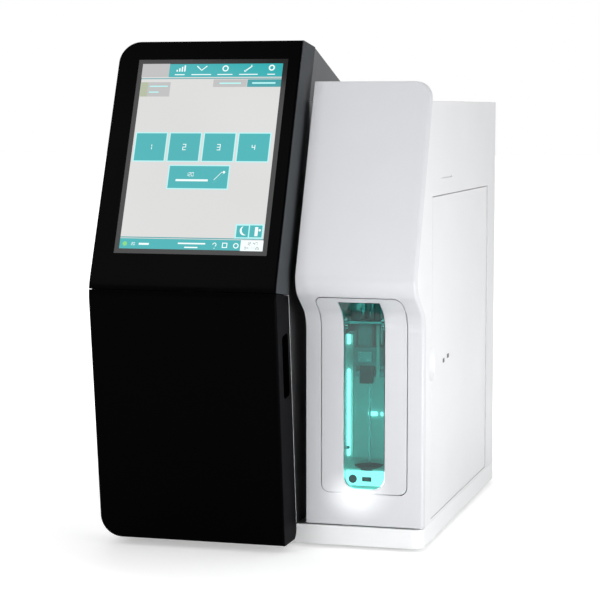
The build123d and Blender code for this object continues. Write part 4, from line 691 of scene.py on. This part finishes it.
def numeral(text, x, y, height):
    """Outlines of plain digits built from strokes on a seven-bar grid, centred on x and y."""
    bars = {"a": ((0, 2), (1, 2)), "b": ((1, 2), (1, 1)), "c": ((1, 1), (1, 0)), "d": ((0, 0), (1, 0)),
            "e": ((0, 1), (0, 0)), "f": ((0, 2), (0, 1)), "g": ((0, 1), (1, 1))}
    lit = {"0": "abcdef", "1": "bc", "2": "abged", "3": "abgcd", "4": "fgbc", "5": "afgcd", "6": "afgedc",
           "7": "abc", "8": "abcdefg", "9": "abcdfg"}
    width, unit, weight = height * 0.5, height / 2, height * 0.13
    pitch = width + height * 0.28
    left = x - (pitch * (len(text) - 1) + width) / 2
    outlines = []
    for place, sign in enumerate(text):
        origin = left + place * pitch
        if sign == ":":
            for dy in (-0.22, 0.22):
                outlines.append(circle(origin + width / 2, y + dy * height, weight * 0.7, 12))
            continue
        for bar in lit[sign]:
            (x0, y0), (x1, y1) = bars[bar]
            start = (origin + x0 * width, y - height / 2 + y0 * unit)
            stop = (origin + x1 * width, y - height / 2 + y1 * unit)
            reach = weight / 2 * 0.96
            if x0 == x1:
                outlines.append(rectangle(start[0] - reach, min(start[1], stop[1]) + weight * 0.55,
                                          start[0] + reach, max(start[1], stop[1]) - weight * 0.55))
            else:
                outlines.append(rectangle(start[0] - reach, start[1] - reach,
                                          stop[0] + reach, start[1] + reach))
    return outlines


print("layer step", LAYER_STEP, "mm")

# %% [markdown]
# A backlit screen gives its own light, so its colours go to the emission socket and the surface
# under them stays dark. A backlight is never quite even: it falls off a little towards the rim.
# The group below makes that slow change and the fine line grid of the pixels.


# %% Backlight group
def make_backlight():
    """A lit colour with slow unevenness and a fine pixel grid."""
    group, start, end = new_group(
        "backlight", [("Colour", "NodeSocketColor", (1, 1, 1, 1)), ("Unevenness", "NodeSocketFloat", 0.03)],
        [("Colour", "NodeSocketColor"), ("Pixels", "NodeSocketFloat")],
    )
    links = group.links
    place = object_place(group)
    swing = slow_swing(group, place, 9.0, 1.0)
    links.new(toned(group, start.outputs["Colour"], swing, start.outputs["Unevenness"]),
              end.inputs["Colour"])
    wave = group.nodes.new("ShaderNodeTexWave")
    wave.inputs["Scale"].default_value = 1000.0
    links.new(place, wave.inputs["Vector"])
    links.new(wave.outputs["Fac"], end.inputs["Pixels"])
    return group


backlight = make_backlight()


def lit_colour(name, colour):
    """A screen colour that gives its own light under smooth glass."""
    material, tree, shader = new_material(name, Base_Color=paint(8, 8, 9), Specular_IOR_Level=0.3,
                                          Emission_Strength=1.0)
    glow = place_group(tree, backlight, Colour=colour)
    tree.links.new(glow.outputs["Colour"], shader.inputs["Emission Color"])
    tree.links.new(spread(tree, glow.outputs["Pixels"], 0.0, 1.0, 0.06, 0.12), shader.inputs["Roughness"])
    return material


lit_ground = lit_colour("lit_ground", paint(211, 211, 210))
lit_teal = lit_colour("lit_teal", paint(4, 168, 172))
lit_teal_deep = lit_colour("lit_teal_deep", paint(22, 150, 156))
lit_edge = lit_colour("lit_edge", paint(176, 240, 241))
lit_grey = lit_colour("lit_grey", paint(180, 181, 180))
lit_white = lit_colour("lit_white", paint(240, 252, 252))
lit_olive = lit_colour("lit_olive", paint(168, 178, 148))
lit_ink = lit_colour("lit_ink", paint(78, 82, 86))
print("screen colours", 8)

# %% [markdown]
# The layout is the usual one for such a screen: a bar of tools at the top, two tabs, a status box,
# four large tiles in a row, one wide button, and a bar with the clock at the foot. The places are
# real millimetres on the glass. The tiles carry plain numbers, and every mark is a simple shape.

# %% Picture layout
half_width, half_height = picture_width / 2, picture_height / 2
TOOLBAR_LOW = 69.0
FOOTER_HIGH = -72.0
TILE_HIGH, TILE_LOW = 19.2, -4.7
TILE_LEFTS = (-58.0, -28.6, 0.9, 30.4)
TILE_WIDTH = 26.0
WIDE_BUTTON = (-25.8, -28.4, 24.8, -9.2)
SMALL_BUTTONS = ((37.3, -69.6, 47.2, -59.7), (48.3, -69.4, 58.6, -59.4))
CLOCK_BOX = (42.0, -81.05, 60.8, -72.2)
STATUS_BOX = (-60.2, 51.8, -34.4, 64.6)
STATUS_STRIP = (-60.2, 51.8, -54.0, 64.6)
SMALL_RIM = (36.2, -70.8, 59.7, -58.4)
OPEN_TAB, OTHER_TAB = (2.6, 60.1, 31.4, 66.8), (31.8, 60.1, half_width, 66.8)
CORNER_PATCH = (-60.8, 69.1, -37.0, 81.05)
EDGE = 0.9

tiles = [(left, TILE_LOW, left + TILE_WIDTH, TILE_HIGH) for left in TILE_LEFTS]
buttons = tiles + [WIDE_BUTTON, *SMALL_BUTTONS]
rims = [rectangle(x0 - EDGE, y0 - EDGE, x1 + EDGE, y1 + EDGE) for x0, y0, x1, y1 in tiles + [WIDE_BUTTON]]
picture_layer("screen_ground", [rectangle(-half_width, -half_height, half_width, half_height)], 0,
              lit_ground)
picture_layer("screen_button_rims", rims + [rectangle(*SMALL_RIM)], 1, lit_edge)
picture_layer("screen_buttons", [rectangle(*b) for b in buttons], 2, lit_teal)
picture_layer("screen_bars", [
    rectangle(CORNER_PATCH[2], TOOLBAR_LOW, half_width, half_height),
    rectangle(-half_width, -half_height, CLOCK_BOX[0], FOOTER_HIGH),
], 1, lit_teal)
picture_layer("screen_rules", [
    rectangle(-half_width, TOOLBAR_LOW - 1.6, half_width, TOOLBAR_LOW - 0.9),
    rectangle(-half_width, FOOTER_HIGH + 0.6, half_width, FOOTER_HIGH + 1.4),
    rectangle(*OTHER_TAB),
], 1, lit_teal_deep)
picture_layer("screen_greys", [rectangle(*box) for box in (CORNER_PATCH, OPEN_TAB, STATUS_BOX)], 1,
              lit_grey)
picture_layer("screen_status_strip", [rectangle(*STATUS_STRIP)], 2, lit_olive)
picture_layer("screen_clock", [rectangle(*CLOCK_BOX)], 1, lit_white)
print("tiles", len(tiles), "buttons", len(buttons))

# %% [markdown]
# Marks come last, on top. Tool signs in the bar are a small chart, a tick, a ring, a spanner and a
# cog, each with a line under it. The wide button has a pipette, and the tiles the numbers 1 to 4.

# %% Picture marks
TOOL_PLACES = (-27.5, -8.8, 11.7, 31.9, 51.3)
TOOL_HEIGHT = 76.6
marks = []
for x, length in zip(TOOL_PLACES, (8.5, 17.0, 13.0, 16.0, 6.5)):
    marks.append(rectangle(x - length / 2, 70.8, x + length / 2, 71.6))
chart_x, tick_x, ring_x, tool_x, cog_x = TOOL_PLACES
for i in range(4):
    marks.append(rectangle(chart_x - 3.2 + 2.2 * i, 74.0, chart_x - 2.0 + 2.2 * i, 75.6 + 1.3 * i))
marks.append(stroke([(tick_x - 4.2, 78.8), (tick_x, 75.0), (tick_x + 4.4, 78.8)], 0.9))
marks += [circle(ring_x, TOOL_HEIGHT, 2.7), circle(ring_x, TOOL_HEIGHT, 1.7)]
marks.append(stroke([(tool_x - 3.0, 74.2), (tool_x + 2.4, 78.4)], 0.9))
marks.append(stroke([(tool_x + 1.9, 79.6), (tool_x + 2.4, 78.4), (tool_x + 3.8, 78.2)], 0.8))
marks.append(circle(tool_x - 3.0, 74.3, 0.9, 16))
marks += [circle(cog_x, TOOL_HEIGHT + 0.4, 2.7, 12), circle(cog_x, TOOL_HEIGHT + 0.4, 1.5)]
for n, (x0, y0, x1, y1) in enumerate(tiles, start=1):
    marks += numeral(str(n), (x0 + x1) / 2, (y0 + y1) / 2, 4.8)
button_y = (WIDE_BUTTON[1] + WIDE_BUTTON[3]) / 2
marks += numeral("120", -8.0, button_y + 2.4, 3.0)
marks.append(rectangle(-19.5, button_y - 3.6, 8.0, button_y - 1.9))
pipette = [(11.8, -24.2), (14.6, -22.6), (21.0, -15.6), (19.2, -14.2), (13.0, -21.2)]
marks.append(stroke(pipette, 0.45))
marks.append(circle(20.9, -14.4, 1.1, 20))
marks.append(circle(44.0, -63.9, 4.0, 24, 120, 170) + circle(46.0, -63.2, 4.4, 24, 262, -124))
marks += [rectangle(52.6, -68.4, 55.2, -60.8), circle(56.6, -63.4, 1.0, 16)]
footer_y = -76.6
marks += numeral("20", -49.0, footer_y, 2.2)
marks.append(rectangle(-44.0, footer_y - 0.8, -35.4, footer_y + 0.8))
marks.append(rectangle(-10.8, footer_y + 0.4, 12.4, footer_y + 1.6))
marks.append(rectangle(-5.0, footer_y - 2.8, 6.2, footer_y - 1.8))
marks.append(stroke(circle(20.2, footer_y + 0.4, 1.4, 14, 180, -250), 0.6))
marks.append(circle(20.2, footer_y - 2.6, 0.4, 12))
marks += [rectangle(26.6, footer_y - 2.2, 31.0, footer_y + 2.2),
          rectangle(27.3, footer_y - 1.5, 30.3, footer_y + 1.5)]
marks += [circle(38.2, footer_y - 0.2, 2.3, 24), circle(38.2, footer_y - 0.2, 1.5, 24)]
picture_layer("screen_marks", marks, 3, lit_white)
lit_green = lit_colour("lit_green", paint(120, 205, 110))
picture_layer("screen_ready_lamp", [circle(-56.0, footer_y, 1.9, 24)], 3, lit_green)
clock_x = (CLOCK_BOX[0] + CLOCK_BOX[2]) / 2
picture_layer("screen_clock_marks",
              numeral("12:47", clock_x, -74.8, 2.4) + numeral("04:11:25", clock_x, -78.6, 2.0), 3, lit_ink)
TAB_MARKS = ((8.0, 62.8, 26.4, 64.0), (-52.4, 60.4, -36.6, 61.4), (-52.4, 55.2, -44.0, 56.2),
             (36.0, 62.8, 55.8, 64.2))
picture_layer("screen_tab_marks", [rectangle(*mark) for mark in TAB_MARKS], 3, lit_edge)
print("marks", len(marks))

# %% [markdown]
# The sample bay is lit from inside, so that the tinted door glows. A thin light bar stands at the
# left of the opening and a lamp under the shelf throws light on the sill. Both are real pieces that
# give light, and each has a frosted cover, so the emission is a little uneven.


# %% Bay lights
TURN_STEPS = 24


def new_piece(name, points, faces, material):
    """A mesh object from points in metres."""
    mesh = bpy.data.meshes.new(name)
    mesh.from_pydata(points, [], faces)
    mesh.materials.append(material)
    piece = bpy.data.objects.new(name, mesh)
    bpy.context.scene.collection.objects.link(piece)
    return piece


def solid_box(name, low, high, material, body="housing", slot="bright_liner", bevel_mm=0.4):
    """A box with rounded edges between two corners, in metres."""
    corners = [(x, y, z) for x in (low[0], high[0]) for y in (low[1], high[1]) for z in (low[2], high[2])]
    faces = [(0, 1, 3, 2), (4, 6, 7, 5), (0, 4, 5, 1), (2, 3, 7, 6), (0, 2, 6, 4), (1, 5, 7, 3)]
    piece = new_piece(name, corners, faces, material)
    if bevel_mm:
        bevel = piece.modifiers.new("rounded", "BEVEL")
        bevel.width = bevel_mm * MM
        bevel.segments = 3
    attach(piece, body)


def turned_piece(name, place, profile, material, body="housing"):
    """A piece turned about Y, from radius and length pairs in millimetres and a place in metres."""
    points, faces = [], []
    for radius, length in profile:
        for i in range(TURN_STEPS):
            angle = 2 * math.pi * i / TURN_STEPS
            local = (radius * math.sin(angle), length, radius * math.cos(angle))
            points.append([start + step * MM for start, step in zip(place, local)])
    last_ring = (len(profile) - 1) * TURN_STEPS
    for ring in range(0, last_ring, TURN_STEPS):
        for i in range(TURN_STEPS):
            low, high = ring + i, ring + (i + 1) % TURN_STEPS
            faces.append((low, high, high + TURN_STEPS, low + TURN_STEPS))
    faces += [tuple(range(TURN_STEPS))[::-1], tuple(range(last_ring, last_ring + TURN_STEPS))]
    piece = new_piece(name, points, faces, material)
    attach(piece, body)


def lamp_cover(name, colour, strength):
    """A frosted cover with light behind it."""
    material, tree, shader = new_material(name, Base_Color=paint(230, 236, 236), Roughness=0.5,
                                          Emission_Strength=strength)
    glow = place_group(tree, backlight, Colour=colour, Unevenness=0.08)
    tree.links.new(glow.outputs["Colour"], shader.inputs["Emission Color"])
    return material


BAR_WIDTH, BAR_DEPTH = 2.2 * MM, 3.0 * MM
BAR_INSET, BAR_SETBACK = 1.6 * MM, 9 * MM
BAR_STOP, STUB_START, CEILING_GAP = 30 * MM, 9 * MM, 1 * MM
BAR_GLOW, SILL_GLOW = 3.0, 2.3
SILL_KNOB = (71.2 * MM, 56.5 * MM)
SILL_SLOT = (79.0 * MM, 87.0 * MM, 54.6 * MM, 58.4 * MM)
PAINTED_GLINTS = ((78.0, 85.6), (88.8, 90.4))
GLINT_LOW, GLINT_HIGH = 105.6 * MM, 108.8 * MM
shelf_low, shelf_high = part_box("sample_shelf")
bar_cover = lamp_cover("bar_cover", paint(236, 255, 252), BAR_GLOW)
bar_left, bar_front = bay_low.x + BAR_INSET, bay_low.y + BAR_SETBACK
bar_right, bar_back = bar_left + BAR_WIDTH, bar_front + BAR_DEPTH
bar_low = shelf_high.z + 4 * MM
for name, low_z, high_z in (("bay_light_bar", bar_low, bay_high.z - BAR_STOP),
                            ("bay_light_stub", bay_high.z - STUB_START, bay_high.z - CEILING_GAP)):
    solid_box(name, (bar_left, bar_front, low_z), (bar_right, bar_back, high_z), bar_cover)
solid_box("bay_light_carrier", (bay_low.x + 1.2 * MM, bar_back, shelf_high.z + 2 * MM),
          (bar_left + 4.6 * MM, bar_back + 2 * MM, bay_high.z - CEILING_GAP), roller_white)
turned_piece("bay_light_screw", ((bar_left + bar_right) / 2, bar_front - 0.9 * MM, shelf_high.z + 11 * MM),
             ((1.2, 0.0), (1.4, 0.2), (1.4, 1.4)), dark_moulding)
sill_cover = lamp_cover("sill_cover", paint(236, 250, 248), SILL_GLOW)
solid_box("bay_sill_light", (shelf_low.x + 1 * MM, shelf_low.y - 1.2 * MM, bay_low.z + 4 * MM),
          (shelf_high.x - 1 * MM, shelf_low.y - 0.2 * MM, shelf_low.z + 7.5 * MM), sill_cover)
turned_piece("bay_sill_knob", (SILL_KNOB[0], shelf_low.y - 2.2 * MM, SILL_KNOB[1]),
             ((3.0, 0.0), (3.5, 0.4), (3.5, 1.2)), slate_cover)
solid_box("bay_sill_slot", (SILL_SLOT[0], shelf_low.y - 1.8 * MM, SILL_SLOT[2]),
          (SILL_SLOT[1], shelf_low.y - 0.9 * MM, SILL_SLOT[3]), slate_cover, slot="dark_plastic")
# Two short glowing dashes on the back wall of the bay are painted highlights, not lamps.
glint_cover = lamp_cover("glint_cover", paint(236, 255, 252), BAR_GLOW)
for place, (left, right) in enumerate(PAINTED_GLINTS, start=1):
    solid_box(f"bay_painted_glint_{place}", (left * MM, bay_high.y - 3.4 * MM, GLINT_LOW),
              (right * MM, bay_high.y - 2.2 * MM, GLINT_HIGH), glint_cover)
print("light bar from z", round(bar_low / MM, 1), "mm")

# %% [markdown]
# The carriage that dips the needle is a casting with a few things screwed to it: a pale cover plate,
# a dark sensor block that hangs below it, and a strip that the flag of the end switch runs along.
# They ride the carriage, so they rise and sink with the needle. Each row of the table gives a box in
# millimetres, with its depth counted from the front of the carriage.

# %% Carriage parts
CARRIAGE_PARTS = (
    ("carriage_cover_plate", (74.0, -1.2, 153.0), (85.5, 0.2, 161.5), cartridge_grey, "pack_body"),
    ("carriage_sensor_block", (75.0, 0.6, 135.0), (86.0, 5.6, 151.0), slate_cover, "dark_plastic"),
    ("carriage_flag_strip", (89.5, -1.0, 138.0), (92.3, 0.2, 184.0), roller_white, "bright_liner"),
)
SCREW_PLACES = ((76.2, 155.0), (83.3, 155.0), (76.2, 159.6), (83.3, 159.6))
carriage_low, carriage_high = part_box("probe_carriage")
for name, low, high, material, slot in CARRIAGE_PARTS:
    corners = [(x * MM, carriage_low.y + y * MM, z * MM) for x, y, z in (low, high)]
    solid_box(name, *corners, material, "probe_carriage", slot)
for place, (x, z) in enumerate(SCREW_PLACES, start=1):
    turned_piece(f"carriage_screw_{place}", (x * MM, carriage_low.y - 1.8 * MM, z * MM),
                 ((0.8, 0.0), (1.1, 0.3), (1.1, 0.8)), turned_steel, "probe_carriage")
print("carriage from", round(carriage_low.z / MM, 1), "to", round(carriage_high.z / MM, 1), "mm")

# %% [markdown]
# Electrodes look alike, so each carries a round cap in the front, pale teal on the four that measure
# and dark on the reference. The caps make the row readable through the open door.

# %% Electrode caps
CAP_PROUD, CAP_DROP = 0.9 * MM, 7 * MM
cap_teal = moulded_plastic("cap_teal", paint(70, 158, 156), 0.3, edge_colour=paint(110, 184, 182))
for n in range(1, 6):
    cell_low, cell_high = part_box(f"electrode_{n}")
    finish, slot = (dark_moulding, "dark_plastic") if n == 5 else (cap_teal, "electrode_body")
    turned_piece(f"electrode_cap_{n}",
                 ((cell_low.x + cell_high.x) / 2, cell_low.y - CAP_PROUD, cell_high.z - CAP_DROP),
                 ((1.6, 0.0), (2.3, 0.5), (2.3, 1.1)), finish)
print("electrode row top", round(cell_high.z / MM, 1), "mm")

# %% [markdown]
# The seam between the display housing and the front door is open towards the left. A thin black
# strip under the housing is painted shade for that seam, so no light shows through it, and it stays
# clear of the door below.

# %% Seam shade strip
SHADE_STRIP_LOW, SHADE_STRIP_HIGH = (-131.5, -187.0, 213.86), (-100.0, -185.4, 214.5)
solid_box("seam_shade_strip", [v * MM for v in SHADE_STRIP_LOW], [v * MM for v in SHADE_STRIP_HIGH], black_door, slot="black_gloss",
          bevel_mm=0.0)
print("seam shade strip", round(SHADE_STRIP_HIGH[0] - SHADE_STRIP_LOW[0], 1), "mm wide")

# %% [markdown]
# Beside the finger dish of the side door sit two small black plugs, pressed in flush with the wall.

# %% Door plugs
DOOR_PLUGS = ((-49.0, 148.0, 7.5), (-30.5, 149.8, 8.5))
door_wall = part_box("side_door")[1].x
for place, (y, z, length) in enumerate(DOOR_PLUGS, start=1):
    solid_box(f"door_plug_{place}", (door_wall - 1.0 * MM, (y - length / 2) * MM, (z - 1.8) * MM),
              (door_wall + 0.01 * MM, (y + length / 2) * MM, (z + 1.8) * MM), dark_moulding, "side_door",
              "dark_plastic", bevel_mm=0.0)
print("door wall at x", round(door_wall / MM, 2), "mm")

# %% [markdown]
# The stage is a plain pale floor and an even white surround. For diffuse light the surround is kept
# lower than white, so pale plastic keeps its shading, while camera, mirror and glass rays see it as
# plain white. The floor stays a real surface, so the case still rests on its own soft shadow.

# %% Stage and light
world = bpy.data.worlds.new("studio")
world.use_nodes = True
bpy.context.scene.world = world
world_tree = world.node_tree
surround = world_tree.nodes["Background"]
surround.inputs["Color"].default_value = (1.0, 1.0, 1.0, 1.0)
AMBIENT = 0.24
world_tree.links.new(spread(world_tree, seen_directly(world_tree), 0.0, 1.0, AMBIENT, 1.0),
                     surround.inputs["Strength"])
FLOOR_REACH = 14.0
SHADOW_REACH, WHITE_REACH, SHADOW_GLOW = 0.26, 0.66, 0.42


def make_floor():
    """A large pale floor under the case, plain white from WHITE_REACH outwards."""
    corners = [(x * FLOOR_REACH, y * FLOOR_REACH, 0) for x, y in ((-1, -1), (1, -1), (1, 1), (-1, 1))]
    material, tree, shader = new_material("pale_floor", Roughness=0.9, Specular_IOR_Level=0.1)
    paper = place_group(tree, moulded_grain, Grain_Size_mm=4.0, Colour=paint(247, 247, 247),
                        Tone_Play=0.004)
    tree.links.new(paper.outputs["Colour"], shader.inputs["Base Color"])
    away = vector_node(tree, "LENGTH", object_place(tree))["Value"]
    glow = spread(tree, away, SHADOW_REACH, WHITE_REACH, SHADOW_GLOW, 1.0)
    shader.inputs["Emission Color"].default_value = (1.0, 1.0, 1.0, 1.0)
    tree.links.new(math_node(tree, "MULTIPLY", seen_directly(tree), glow),
                   shader.inputs["Emission Strength"])
    new_piece("floor", corners, [(0, 1, 2, 3)], material)


def soft_lamp(name, place, target, size, power):
    """A square soft light that looks at a point."""
    data = bpy.data.lights.new(name, "AREA")
    data.shape = "SQUARE"
    data.size = size
    data.energy = power
    lamp = bpy.data.objects.new(name, data)
    lamp.location = place
    lamp.rotation_euler = (Vector(target) - Vector(place)).to_track_quat("-Z", "Y").to_euler()
    lamp.visible_camera = False
    bpy.context.scene.collection.objects.link(lamp)


make_floor()
MIDDLE = (0.0, 0.0, 0.2)
LAMPS = (
    ("side_light", (2.6, -0.5, 1.3), MIDDLE, 1.8, 12),
    ("front_light", (-1.2, -2.6, 1.9), MIDDLE, 1.6, 24),
    ("top_light", (0.2, 0.3, 3.0), MIDDLE, 2.2, 22),
    ("back_light", (-1.3, 2.6, 1.8), MIDDLE, 1.6, 16),
    ("low_light", (0.52, -0.56, 0.05), (0.12, -0.06, 0.0), 0.3, 2.7),
)
for facts in LAMPS:
    soft_lamp(*facts)
bpy.context.scene.view_settings.view_transform = "Standard"
print("lights", len(LAMPS))
